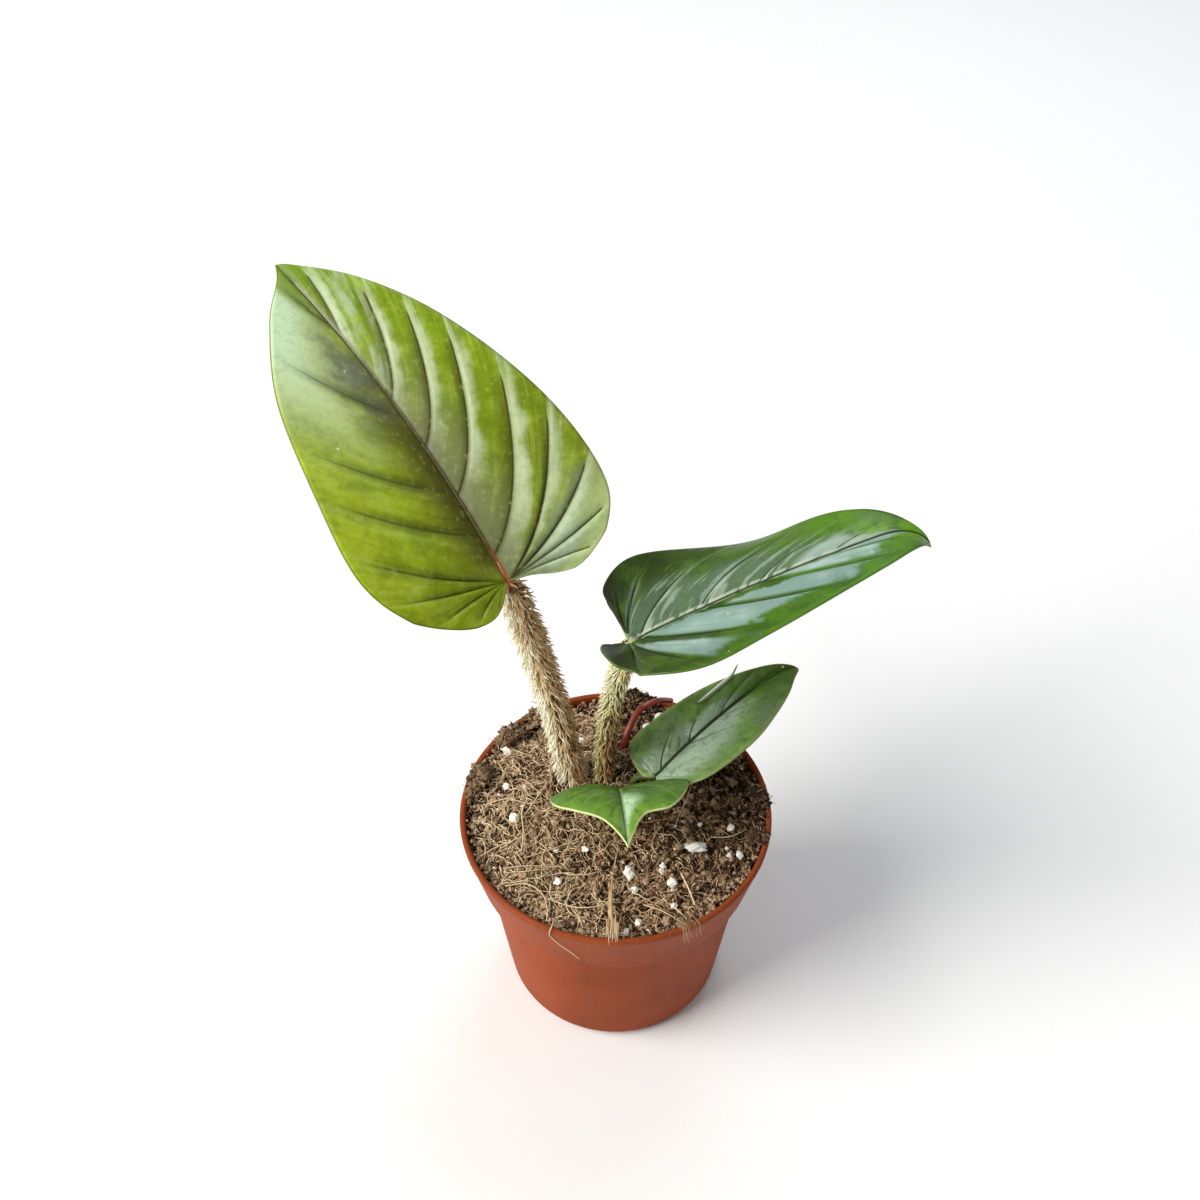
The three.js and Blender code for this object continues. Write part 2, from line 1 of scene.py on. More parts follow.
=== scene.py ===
# Potted Philodendron serpens: the finish of a young plant with bristly stalks
# and ribbed heart-shaped leaves, in a terracotta-coloured nursery pot.
# Sizes are written in millimetres and made metres as the pieces are built.
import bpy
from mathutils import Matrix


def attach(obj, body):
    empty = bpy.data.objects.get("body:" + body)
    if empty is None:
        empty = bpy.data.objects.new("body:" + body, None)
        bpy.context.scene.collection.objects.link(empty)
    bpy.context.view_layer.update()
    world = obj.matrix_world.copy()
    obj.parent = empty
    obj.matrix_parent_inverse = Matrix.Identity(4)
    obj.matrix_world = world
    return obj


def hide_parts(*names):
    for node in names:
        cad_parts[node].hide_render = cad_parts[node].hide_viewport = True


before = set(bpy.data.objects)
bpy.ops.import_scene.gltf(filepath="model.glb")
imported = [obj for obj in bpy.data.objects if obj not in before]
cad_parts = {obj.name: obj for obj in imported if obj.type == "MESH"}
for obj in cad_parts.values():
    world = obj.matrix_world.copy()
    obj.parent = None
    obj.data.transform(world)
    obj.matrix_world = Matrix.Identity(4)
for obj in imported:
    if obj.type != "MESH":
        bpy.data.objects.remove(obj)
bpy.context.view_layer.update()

import bisect
import math
import random

import bmesh
import bpy
from mathutils import Matrix, Vector, noise

MM = 0.001

# Pot, as in the part: the lip's top is 95 mm above the table
POT_HEIGHT = 95
RIM_RADIUS = 60
COLLAR_HEIGHT = 24.5
COLLAR_RADIUS = 54.8
BODY_TOP_RADIUS = 51.4
BASE_RADIUS = 44.2
BASE_ROUNDING = 5.5
WALL = 1.7
DRAIN_HOLES = 8
DRAIN_CIRCLE = 30
DRAIN_RADIUS = 4

# Soil: a low dome with lumps
SOIL_EDGE = 92
SOIL_DOME = 1.8
SOIL_LUMP = 1.1
SOIL_RADIUS = 57.1
# The wall of the soil inside the pot, downward: radius and height
SOIL_WALL = ((52.4, 70.8), (49.1, 67.6), (41.9, 6), (38.4, 2.4))

# Stalks and blades
STEM_CORE = 2.9
BLADE_THICKNESS = 0.7
BRISTLES_FROM = 93.5
GOLDEN_ANGLE = 2.39996

# Camera of the photograph, fitted to the pot's rim and base
CAMERA_TARGET = (-6, 0, 206)
CAMERA_DISTANCE = 462
CAMERA_ELEVATION = 44
CAMERA_LENS = 42


# Small tools

def linear(code):
    """Turns an sRGB hex colour into linear RGBA."""
    channels = [int(code[i:i + 2], 16) / 255 for i in (0, 2, 4)]
    return (*(c / 12.92 if c <= 0.04045 else ((c + 0.055) / 1.055) ** 2.4 for c in channels), 1.0)


def fill(tree, node, inputs):
    """Fills a node's inputs. Each is a value, a hex colour or another node's output."""
    for key, value in inputs.items():
        if isinstance(value, bpy.types.NodeSocket):
            tree.links.new(value, node.inputs[key])
        else:
            node.inputs[key].default_value = linear(value) if isinstance(value, str) else value


def add(tree, kind, inputs=None, out=None, stops=None, **settings):
    """Adds one shader node and returns the output that is asked for, or else its first."""
    made = tree.nodes.new("ShaderNode" + kind)
    for key, value in settings.items():
        setattr(made, key, value)
    fill(tree, made, inputs or {})
    if stops:
        band = made.color_ramp.elements
        while len(band) < len(stops):
            band.new(0.5)
        for element, (place, code) in zip(band, stops):
            element.position = place
            element.color = linear(code)
    return made.outputs[out] if out else next(socket for socket in made.outputs if socket.enabled)


def start_material(name):
    """A new material, its tree, its Principled shader and the place of a point on the object."""
    material = bpy.data.materials.new(name)
    material.use_nodes = True
    tree = material.node_tree
    return material, tree, tree.nodes["Principled BSDF"], add(tree, "TexCoord", out="Object")


def mesh_of(bm, name):
    """Turns a bmesh into a mesh."""
    mesh = bpy.data.meshes.new(name)
    bm.to_mesh(mesh)
    bm.free()
    return mesh


def add_object(name, data):
    made = bpy.data.objects.new(name, data)
    bpy.context.scene.collection.objects.link(made)
    return made


def place_piece(mesh, name, materials, slot, replaces=()):
    """A smooth piece in metres that rides on the plant's one body."""
    piece = add_object(name, mesh)
    for material in materials:
        mesh.materials.append(material)
    for face in mesh.polygons:
        face.use_smooth = True
    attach(piece, "root")
    if replaces:
        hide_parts(*replaces)
    return piece


def clamp(x, low, high):
    return min(max(x, low), high)


def smoothstep(low, high, x):
    s = clamp((x - low) / (high - low), 0.0, 1.0)
    return s * s * (3 - 2 * s)


def strands(name, paths, material, slot, replaces=(), roundness=0):
    """Thin tapering strands as one mesh. Each path is (points, radii, tone), in mm.

    The tone goes into the attribute "tone" and the place along the strand into
    "along", so one material can colour every strand in its own way. A ring of
    no size closes each end.
    """
    curve = bpy.data.curves.new(name, "CURVE")
    curve.dimensions = "3D"
    curve.bevel_depth = MM
    curve.bevel_resolution = roundness
    curve.resolution_u = 1
    tones, alongs = [], []
    for points, radii, value in paths:
        first = points[0] + (points[0] - points[1]).normalized() * 0.02
        last = points[-1] + (points[-1] - points[-2]).normalized() * 0.02
        spline = curve.splines.new("POLY")
        spline.points.add(len(points) + 1)
        for place, point, radius in zip(spline.points, [first, *points, last], [0, *radii, 0]):
            place.co = (*point * MM, 1)
            place.radius = radius
        tones += [value] * (len(points) + 2)
        alongs += [0] + [i / (len(points) - 1) for i in range(len(points))] + [1]
    holder = add_object(name + "_lines", curve)
    mesh = bpy.data.meshes.new_from_object(holder.evaluated_get(bpy.context.evaluated_depsgraph_get()))
    bpy.data.objects.remove(holder)
    bpy.data.curves.remove(curve)
    mesh.name = name
    mesh.materials.clear()
    ring = len(mesh.vertices) // len(tones)
    for key, values in (("tone", tones), ("along", alongs)):
        layer = mesh.attributes.new(key, "FLOAT", "POINT")
        layer.data.foreach_set("value", [value for value in values for _ in range(ring)])
    bm = bmesh.new()
    bm.from_mesh(mesh)
    bmesh.ops.remove_doubles(bm, verts=bm.verts, dist=2e-7)
    bm.to_mesh(mesh)
    bm.free()
    return place_piece(mesh, name, [material], slot, replaces)


def through(stops, count):
    """Points on a smooth line through the stops, evenly spaced in parameter."""
    out = []
    last = len(stops) - 1
    vectors = [Vector(s) for s in stops]
    for i in range(count + 1):
        p = last * i / count
        k = min(int(p), last - 1)
        out.append(catmull(vectors, k, p - k))
    return out


def catmull(v, k, w):
    """The spline that passes through every point, between points k and k + 1."""
    before = v[max(k - 1, 0)]
    after = v[min(k + 2, len(v) - 1)]
    a, b = v[k], v[k + 1]
    va, vb = (b - before) * 0.5, (after - a) * 0.5
    return (2 * a - 2 * b + va + vb) * w ** 3 + (3 * b - 3 * a - 2 * va - vb) * w ** 2 + va * w + a


# Materials

def terracotta_plastic():
    """Injection-moulded polypropylene, terracotta colour: satin, a little mottled, dusty near the lip."""
    material, tree, shader, place = start_material("moulded_terracotta_polypropylene")
    mottle = add(tree, "TexNoise", {"Vector": place, "Scale": 45.0, "Detail": 4.0})
    base = add(tree, "ValToRGB", {"Fac": mottle}, stops=[(0.3, "86380f"), (0.7, "98431a")])
    # Flow marks run down the wall, about 3 mm apart
    stretch = add(tree, "Mapping", {"Vector": place, "Scale": (1, 1, 0.05)})
    flow = add(tree, "TexNoise", {"Vector": stretch, "Scale": 320.0, "Detail": 3.0})
    # Fine peat dust clings to the lip and the top of the wall
    height = add(tree, "SeparateXYZ", {"Vector": place}, out="Z")
    near_lip = add(tree, "MapRange", {"Value": height, "From Min": 0.084, "From Max": 0.0945})
    specks = add(tree, "TexNoise", {"Vector": place, "Scale": 900.0, "Detail": 6.0})
    dust = add(tree, "MapRange", {"Value": specks, "From Min": 0.5, "From Max": 0.66, "To Max": 0.65})
    dust_here = add(tree, "Math", {0: dust, 1: near_lip}, operation="MULTIPLY")
    dusty = add(tree, "Mix", {0: dust_here, 6: base, 7: "5c3f2a"}, data_type="RGBA")
    rough = add(tree, "MapRange", {"Value": flow, "To Min": 0.55, "To Max": 0.7})
    grain = add(tree, "TexNoise", {"Vector": place, "Scale": 2200.0, "Detail": 2.0})
    bump = add(tree, "Bump", {"Height": grain, "Strength": 0.08, "Distance": 0.0003})
    fill(tree, shader, {"Base Color": dusty, "Roughness": rough, "Normal": bump, "IOR": 1.49,
                        "Specular IOR Level": 0.2})
    return material


def peat_mix(name, dark, mid, light):
    """Peat and coir crumb: matte and fibrous, darker where damp."""
    material, tree, shader, place = start_material(name)
    tone = add(tree, "Attribute", out="Fac", attribute_name="tone")
    damp = add(tree, "TexNoise", {"Vector": place, "Scale": 22.0, "Detail": 3.0})
    crumb = add(tree, "TexNoise", {"Vector": place, "Scale": 650.0, "Detail": 8.0, "Roughness": 0.75})
    # The soil is lighter on the left and in front and darker at the back right, with damp patches over it
    lighter_left_front = add(tree, "VectorMath", {0: place, 1: (-3.6, -2, 0)}, out="Value", operation="DOT_PRODUCT")
    patch = add(tree, "Math", {0: lighter_left_front, 1: damp}, operation="ADD")
    fine = add(tree, "Math", {0: crumb, 1: 0.45}, operation="MULTIPLY")
    part = add(tree, "Math", {0: patch, 1: 0.45, 2: fine}, operation="MULTIPLY_ADD")
    total = add(tree, "Math", {0: tone, 1: 0.5, 2: part}, operation="MULTIPLY_ADD")
    colour = add(tree, "ValToRGB", {"Fac": total}, stops=[(0.38, dark), (0.58, mid), (0.78, light)])
    bump = add(tree, "Bump", {"Height": crumb, "Strength": 0.9, "Distance": 0.0009})
    fill(tree, shader, {"Base Color": colour, "Normal": bump, "Roughness": 0.92, "Specular IOR Level": 0.25})
    return material


def perlite():
    """Expanded volcanic glass: chalky white, pitted, dusted with peat in its hollows."""
    material, tree, shader, place = start_material("expanded_perlite")
    pits = add(tree, "TexNoise", {"Vector": place, "Scale": 700.0, "Detail": 6.0, "Roughness": 0.7})
    colour = add(tree, "ValToRGB", {"Fac": pits}, stops=[(0.32, "d3c3a5"), (0.42, "f4ecdc"), (0.6, "ffffff")])
    bump = add(tree, "Bump", {"Height": pits, "Strength": 0.5, "Distance": 0.0006})
    fill(tree, shader, {"Base Color": colour, "Normal": bump, "Roughness": 0.85, "Subsurface Weight": 0.15,
                        "Subsurface Radius": (0.0012, 0.001, 0.0008)})
    return material


def toned_fibre(name, stops, roughness=0.6, tip_light=0.25):
    """Plant fibre: each strand has its own tone, and gets lighter towards its tip."""
    material, tree, shader, place = start_material(name)
    tone = add(tree, "Attribute", out="Fac", attribute_name="tone")
    along = add(tree, "Attribute", out="Fac", attribute_name="along")
    drift = add(tree, "TexNoise", {"Vector": place, "Scale": 130.0, "Detail": 2.0})
    lifted = add(tree, "Math", {0: along, 1: tip_light, 2: tone}, operation="MULTIPLY_ADD")
    total = add(tree, "Math", {0: drift, 1: 0.35, 2: lifted}, operation="MULTIPLY_ADD")
    colour = add(tree, "ValToRGB", {"Fac": total}, stops=stops)
    fill(tree, shader, {"Base Color": colour, "Roughness": roughness, "Specular IOR Level": 0.35})
    return material


def young_stalk(name, dark, light, roughness=0.38):
    """Smooth young plant skin: waxy, with long fine streaks along the stalk."""
    material, tree, shader, place = start_material(name)
    streak = add(tree, "TexNoise", {"Vector": place, "Scale": 260.0, "Detail": 4.0})
    colour = add(tree, "ValToRGB", {"Fac": streak}, stops=[(0.35, dark), (0.65, light)])
    bump = add(tree, "Bump", {"Height": streak, "Strength": 0.15, "Distance": 0.0003})
    fill(tree, shader, {"Base Color": colour, "Normal": bump, "Roughness": roughness})
    return material


# What a blade says about each of its points, in mm unless said otherwise:
# vein, the distance to the nearest lateral vein; rib, the distance to the
# midrib; edge, the distance to the margin; along, 0 at the stalk and 1 at the
# tip; half, 0 on the left half and 1 on the right; turn, the panel between two
# veins, counted from the stalk; out, 0 at the midrib and 1 at the margin.
LEAF_PLACES = ("vein", "rib", "edge", "along", "half", "turn", "out")


def leaf_skin(name, look):
    """Living leaf, upper side: waxy cuticle over green tissue, sunken veins, thin pale margin.

    Coats of colour lie on the two halves' own greens, and some of them are painted reflections and painted
    shade. Each coat is a colour, how
    much of it, and where: a list of a place, the value at which the coat starts
    and the value from which it is full.
    """
    material, tree, shader, place = start_material(name)
    at = {key: add(tree, "Attribute", out="Fac", attribute_name=key) for key in LEAF_PLACES}
    at["mottle"] = add(tree, "TexNoise", {"Vector": place, "Scale": 90.0, "Detail": 5.0, "Roughness": 0.6})
    at["grain"] = add(tree, "TexNoise", {"Vector": place, "Scale": 380.0, "Detail": 5.0, "Roughness": 0.65})
    at["patch"] = add(tree, "TexNoise", {"Vector": place, "Scale": 32.0, "Detail": 3.0})
    # Fine parallel veins run from the midrib to the margin, about 0.7 mm apart
    lines = add(tree, "CombineXYZ", {"X": add(tree, "Math", {0: at["turn"], 1: look["fine_veins"]},
                                              operation="MULTIPLY"),
                                     "Y": add(tree, "Math", {0: at["out"], 1: 2.2}, operation="MULTIPLY"),
                                     "Z": at["half"]})
    at["streak"] = add(tree, "TexNoise", {"Vector": lines, "Scale": 1.0, "Detail": 4.0, "Roughness": 0.55})
    # Across a panel from one vein to the next, and out along it, both with an uneven edge
    at["panel"] = add(tree, "Math", {0: at["turn"]}, operation="FRACT")
    uneven = add(tree, "Math", {0: at["mottle"], 1: -0.5}, operation="ADD")
    at["ragged"] = add(tree, "Math", {0: uneven, 1: 0.7, 2: at["panel"]}, operation="MULTIPLY_ADD")
    at["ragged_out"] = add(tree, "Math", {0: uneven, 1: 0.6, 2: at["out"]}, operation="MULTIPLY_ADD")
    # The same, but the further across the panel, the further from the midrib
    at["slant"] = add(tree, "Math", {0: at["panel"], 1: -0.3, 2: at["ragged_out"]}, operation="MULTIPLY_ADD")

    left = add(tree, "ValToRGB", {"Fac": at["along"]}, stops=look["left"])
    right = add(tree, "ValToRGB", {"Fac": at["along"]}, stops=look["right"])
    colour = add(tree, "Mix", {0: at["half"], 6: left, 7: right}, data_type="RGBA")
    for over, amount, where in look["coats"]:
        cover = amount
        for key, start, full in where:
            here = add(tree, "MapRange", {"Value": at[key], "From Min": start, "From Max": full},
                       interpolation_type="SMOOTHSTEP")
            cover = add(tree, "Math", {0: here, 1: cover}, operation="MULTIPLY")
        colour = add(tree, "Mix", {0: cover, 6: colour, 7: over}, data_type="RGBA")
    # A few pale specks of dried hard water, under 1 mm
    cells = add(tree, "TexVoronoi", {"Vector": place, "Scale": 130.0}, out="Color")
    rare = add(tree, "SeparateColor", {"Color": cells}, out="Red")
    kept = add(tree, "Math", {0: rare, 1: 0.8}, operation="GREATER_THAN")
    centre = add(tree, "TexVoronoi", {"Vector": place, "Scale": 130.0}, out="Distance")
    near = add(tree, "MapRange", {"Value": centre, "From Min": 0.075, "From Max": 0.045})
    speck = add(tree, "Math", {0: kept, 1: near}, operation="MULTIPLY")
    colour = add(tree, "Mix", {0: speck, 6: colour, 7: "e6ebcf"}, data_type="RGBA")

    # Finest net of veins, about 1.6 mm across, and a faint ripple of the cuticle
    net = add(tree, "TexVoronoi", {"Vector": place, "Scale": 600.0}, feature="DISTANCE_TO_EDGE")
    net_low = add(tree, "MapRange", {"Value": net, "From Min": 0.0, "From Max": 0.12})
    ripple = add(tree, "TexNoise", {"Vector": place, "Scale": 160.0, "Detail": 3.0})
    bump = add(tree, "Bump", {"Height": net_low, "Strength": 0.1, "Distance": 0.0002})
    bump = add(tree, "Bump", {"Height": ripple, "Normal": bump, "Strength": look["ripple"],
                              "Distance": 0.0008})
    bump = add(tree, "Bump", {"Height": at["streak"], "Normal": bump, "Strength": 0.35, "Distance": 0.0005})
    rough = add(tree, "MapRange", {"Value": at["mottle"], "To Min": look["roughness"] - 0.06,
                                   "To Max": look["roughness"] + 0.1})
    fill(tree, shader, {"Base Color": colour, "Roughness": rough, "Normal": bump, "IOR": 1.5,
                        "Specular IOR Level": look["shine"], "Coat Weight": look["coat"],
                        "Coat Roughness": look["coat_roughness"], "Subsurface Weight": 0.1,
                        "Subsurface Radius": (0.0006, 0.001, 0.0003)})
    return material


def leaf_back(name, pale, vein):
    """Living leaf, lower side: duller and paler, with raised pale veins."""
    material, tree, shader, place = start_material(name)
    mottle = add(tree, "TexNoise", {"Vector": place, "Scale": 70.0, "Detail": 5.0})
    lighter = add(tree, "Mix", {0: mottle, 6: pale, 7: vein}, data_type="RGBA")
    near = add(tree, "Attribute", out="Fac", attribute_name="vein")
    line = add(tree, "MapRange", {"Value": near, "From Min": 0.2, "From Max": 1.2, "To Min": 0.8,
                                  "To Max": 0.0})
    colour = add(tree, "Mix", {0: line, 6: lighter, 7: vein}, data_type="RGBA")
    bump = add(tree, "Bump", {"Height": mottle, "Strength": 0.2, "Distance": 0.0004})
    fill(tree, shader, {"Base Color": colour, "Normal": bump, "Roughness": 0.6})
    return material


# Pot

def pot_profile():
    """Half section of the pot, from the base's middle round the lip to the floor inside."""
    step = POT_HEIGHT - COLLAR_HEIGHT
    outline = [(0, 0), (BASE_RADIUS - BASE_ROUNDING, 0)]
    for i in range(1, 9):
        a = math.radians(90 * i / 8)
        outline.append((BASE_RADIUS - BASE_ROUNDING + BASE_ROUNDING * math.sin(a),
                        BASE_ROUNDING - BASE_ROUNDING * math.cos(a)))
    outline += [
        (BODY_TOP_RADIUS - 0.15, step - 4.5), (BODY_TOP_RADIUS, step - 2.9),
        (BODY_TOP_RADIUS + 0.5, step - 2.1), (COLLAR_RADIUS - 0.6, step - 0.6),
        (COLLAR_RADIUS, step + 0.1), (COLLAR_RADIUS + 0.3, step + 1.2),
        (RIM_RADIUS - 0.45, POT_HEIGHT - 3), (RIM_RADIUS - 0.1, POT_HEIGHT - 2.2),
        (RIM_RADIUS, POT_HEIGHT - 1.2),
        (RIM_RADIUS - 0.2, POT_HEIGHT - 0.4), (RIM_RADIUS - 0.8, POT_HEIGHT), (RIM_RADIUS - 1.6, POT_HEIGHT),
        (RIM_RADIUS - 2.15, POT_HEIGHT - 0.4), (RIM_RADIUS - 2.3, POT_HEIGHT - 1.2),
        (RIM_RADIUS - 2.35, POT_HEIGHT - 2.4),
        (COLLAR_RADIUS - WALL, step), (BODY_TOP_RADIUS - WALL, step - 2.5),
        (BASE_RADIUS - WALL, BASE_ROUNDING),
        (BASE_RADIUS - BASE_ROUNDING, WALL + 0.4), (0, WALL + 0.4),
    ]
    return outline


def make_pot(plastic):
    bm = bmesh.new()
    verts = [bm.verts.new((r * MM, 0, z * MM)) for r, z in pot_profile()]
    edges = [bm.edges.new(pair) for pair in zip(verts, verts[1:])]
    bmesh.ops.spin(bm, geom=verts + edges, cent=(0, 0, 0), axis=(0, 0, 1), angle=2 * math.pi,
                   steps=160, use_merge=True)
    bmesh.ops.remove_doubles(bm, verts=bm.verts, dist=1e-6)
    bmesh.ops.recalc_face_normals(bm, faces=bm.faces)
    pot = place_piece(mesh_of(bm, "nursery_pot"), "nursery_pot", [plastic], "pot_plastic", ["pot"])
    drill_bm = bmesh.new()
    for i in range(DRAIN_HOLES):
        a = 2 * math.pi * i / DRAIN_HOLES
        where = Matrix.Translation((DRAIN_CIRCLE * MM * math.cos(a), DRAIN_CIRCLE * MM * math.sin(a), 0))
        bmesh.ops.create_cone(drill_bm, cap_ends=True, segments=32, radius1=DRAIN_RADIUS * MM,
                              radius2=DRAIN_RADIUS * MM, depth=10 * MM, matrix=where)
    drill = add_object("drill", mesh_of(drill_bm, "drill"))
    cut = pot.modifiers.new("drain_holes", "BOOLEAN")
    cut.operation = "DIFFERENCE"
    cut.solver = "EXACT"
    cut.object = drill
    done = bpy.data.meshes.new_from_object(pot.evaluated_get(bpy.context.evaluated_depsgraph_get()))
    pot.modifiers.clear()
    pot.data = done
    bpy.data.objects.remove(drill)


# Soil

def repeatable(seed):
    """The same run of numbers that shapes the part's soil."""
    state = seed
    while True:
        state = (state * 1664525 + 1013904223) % 4294967296
        yield state / 4294967296


def soil_lumps():
    draw = repeatable(7)
    lumps = []
    for _ in range(60):
        r = 55 * math.sqrt(next(draw))
        a = 2 * math.pi * next(draw)
        height = SOIL_LUMP * (2 * next(draw) - 0.8)
        lumps.append((r * math.cos(a), r * math.sin(a), 4 + 5 * next(draw), height))
    return lumps


LUMPS = soil_lumps()


def soil_height(x, y):
    edge = math.hypot(x, y) / (RIM_RADIUS - 2)
    z = SOIL_EDGE + SOIL_DOME * (1 - edge * edge)
    for lx, ly, width, height in LUMPS:
        d2 = ((x - lx) ** 2 + (y - ly) ** 2) / width ** 2
        if d2 < 9:
            z += height * math.exp(-d2)
    return z


def relief(x, y):
    """How the crumbs stand at a place, in mm: three sizes of noise, below 0 in the hollows."""
    p = Vector((x, y, 0))
    return 1.0 * noise.noise(p * 0.14) + 1.4 * noise.noise(p * 0.36) + 1.0 * noise.noise(p * 0.9)


def rough_soil(x, y):
    """The soil's top with its crumbs."""
    return soil_height(x, y) + relief(x, y) - 0.4


def soil_tone(draw, x, y):
    """How light a crumb is: random, darker in the hollows and lighter on raised places, as painted shade and
    painted light.
    """
    return clamp(0.75 * draw.random() + 0.12 + 0.5 * relief(x, y), 0, 1)


def make_soil(peat):
    rings, around = 110, 300
    bm = bmesh.new()
    line = [bm.verts.new((SOIL_RADIUS * MM * i / rings, 0, 0)) for i in range(rings + 1)]
    edges = [bm.edges.new(pair) for pair in zip(line, line[1:])]
    bmesh.ops.spin(bm, geom=line + edges, cent=(0, 0, 0), axis=(0, 0, 1), angle=2 * math.pi,
                   steps=around, use_merge=True)
    bmesh.ops.remove_doubles(bm, verts=bm.verts, dist=1e-6)
    for v in bm.verts:
        x, y = v.co.x / MM, v.co.y / MM
        v.co.z = rough_soil(x, y) * MM
    # The side wall follows the inside of the pot down to a flat floor
    rim = [e for e in bm.edges if e.is_boundary]
    for radius, height in SOIL_WALL:
        made = bmesh.ops.extrude_edge_only(bm, edges=rim)["geom"]
        ring = [g for g in made if isinstance(g, bmesh.types.BMVert)]
        for v in ring:
            scale = radius * MM / math.hypot(v.co.x, v.co.y)
            v.co = (v.co.x * scale, v.co.y * scale, height * MM)
        rim = [g for g in made if isinstance(g, bmesh.types.BMEdge) and g.is_boundary]
    bmesh.ops.contextual_create(bm, geom=rim)
    bmesh.ops.recalc_face_normals(bm, faces=bm.faces)
    # Painted shade: the soil is darker in its hollows and lighter where it rises
    layer = bm.verts.layers.float.new("tone")
    for v in bm.verts:
        v[layer] = clamp(0.3 + 0.4 * relief(v.co.x / MM, v.co.y / MM), 0, 1)
    place_piece(mesh_of(bm, "potting_mix"), "potting_mix", [peat], "potting_mix", ["soil"])


def lump_template(detail, rough, seed):
    """A knobbly grain of unit size."""
    bm = bmesh.new()
    bmesh.ops.create_icosphere(bm, subdivisions=detail, radius=1)
    shift = Vector((seed * 7.3, seed * 3.1, seed * 5.7))
    for v in bm.verts:
        n = v.co.normalized()
        v.co = n * (1 + rough * noise.noise(n * 1.4 + shift) + 0.5 * rough * noise.noise(n * 3.1 + shift))
    return mesh_of(bm, "grain")


def scatter(name, grains, templates, material):
    """Grains fused into one piece of the potting mix.

    Each is x, y, z and width in mm, height over width, tone and depth over width.
    """
    draw = random.Random(name)
    bm = bmesh.new()
    layer = bm.verts.layers.float.new("tone")
    for x, y, z, width, flat, tone, narrow in grains:
        first = len(bm.verts)
        bm.from_mesh(draw.choice(templates))
        bm.verts.ensure_lookup_table()
        new = bm.verts[first:]
        turn = Matrix.Rotation(draw.uniform(0, 6.28), 4, "Z")
        turn = turn @ Matrix.Rotation(draw.uniform(-0.5, 0.5), 4, "X")
        size = Matrix.Diagonal((width * draw.uniform(0.4, 0.6), width * draw.uniform(0.4, 0.6),
                                width * 0.5 * flat, 1))
        squeeze = Matrix.Diagonal((1, narrow, 1, 1))
        where = Matrix.Translation((x * MM, y * MM, z * MM)) @ squeeze @ turn @ Matrix.Scale(MM, 4) @ size
        for v in new:
            v.co = where @ v.co
            v[layer] = tone
    place_piece(mesh_of(bm, name), name, [material], "potting_mix")


# Where stalks stand: x, y and the room that they and their bristles take
STEM_FEET = [(-16, 16.5, 6.5), (-4.4, 17, 6), (6.2, 13.4, 3), (-0.5, 8.2, 3), (3.3, 29, 2.5)]


def free_spot(draw, reach, margin=0.0):
    """A random place on the soil that is clear of the stalks."""
    while True:
        r = reach * math.sqrt(draw.random())
        a = draw.uniform(0, 2 * math.pi)
        x, y = r * math.cos(a), r * math.sin(a)
        if all(math.hypot(x - fx, y - fy) > room + margin for fx, fy, room in STEM_FEET):
            return x, y


# Perlite grains that the photograph shows: x, y, width and, where it is much less, depth over width
PERLITE = [
    (30, -18.4, 8.2, 0.55), (43.9, -8.7, 3.3), (46.5, -21, 3), (5, -30, 4.6),
    (6.8, -37, 3), (17.4, -27, 2.8), (20.5, -34, 3.2), (-21.5, -33, 2.6),
    (-39, -4.4, 3.6), (-43, 11.6, 2.5), (-43, 29, 3.8), (-44.5, 31.5, 2.7),
    (-14, 34, 3.2), (-10.5, 4.5, 3.8), (18.2, 46.9, 3.6), (13, 41, 3.3),
    (21, -43.6, 2.8), (8, -50, 2.7),
]

# Clumps of peat pushed up against the lip: angle in degrees, width in mm
RIM_CLUMPS = [(165, 9), (140, 9), (82, 11), (3, 8), (-14, 6), (122, 8)]


def in_clump(draw, degrees, width):
    """A random place in a clump of peat that is pushed up against the lip, in mm."""
    off = draw.gauss(0, 0.45)
    a = math.radians(degrees) + off * width / RIM_RADIUS
    r = RIM_RADIUS - 3 + draw.uniform(-4.5, 2.2)
    top = 0.42 * width * math.exp(-(off / 0.6) ** 2)
    return r * math.cos(a), r * math.sin(a), POT_HEIGHT - 0.8 + draw.random() * top


def make_crumbs(peat):
    draw = random.Random(5)
    grains, chunks = [], []
    for _ in range(5000):
        x, y = free_spot(draw, 56.5)
        width = 0.6 + 1.5 * draw.random() ** 2.5
        grains.append((x, y, rough_soil(x, y) + 0.2 * width, width, draw.uniform(0.5, 1),
                       soil_tone(draw, x, y), 1))
    for _ in range(140):
        x, y = free_spot(draw, 54, 1)
        width = draw.uniform(1.6, 3.2)
        chunks.append((x, y, rough_soil(x, y) + 0.1 * width, width, draw.uniform(0.5, 0.8),
                       soil_tone(draw, x, y), 1))
    # Against the lip the soil rises and hides the wall
    for _ in range(1300):
        a, r = draw.uniform(0, 2 * math.pi), draw.uniform(54.2, 57.4)
        x, y = r * math.cos(a), r * math.sin(a)
        z = rough_soil(x, y) + draw.random() * (r - 53.5) * 0.6
        grains.append((x, y, min(z, POT_HEIGHT + 0.3), draw.uniform(0.7, 1.9), 0.8, soil_tone(draw, x, y), 1))
    for degrees, width in RIM_CLUMPS:
        for _ in range(int(24 * width)):
            x, y, z = in_clump(draw, degrees, width)
            grains.append((x, y, z, draw.uniform(0.8, 2), 0.8, 0.6 * draw.random(), 1))
        for _ in range(int(3 * width)):
            x, y, z = in_clump(draw, degrees, width)
            chunks.append((x, y, z, draw.uniform(1.8, 3.2), 0.7, 0.4 * draw.random(), 1))
    scatter("peat_crumbs", grains, [lump_template(1, 0.75, k) for k in range(8)], peat)
    scatter("peat_chunks", chunks, [lump_template(3, 0.9, k + 40) for k in range(8)], peat)


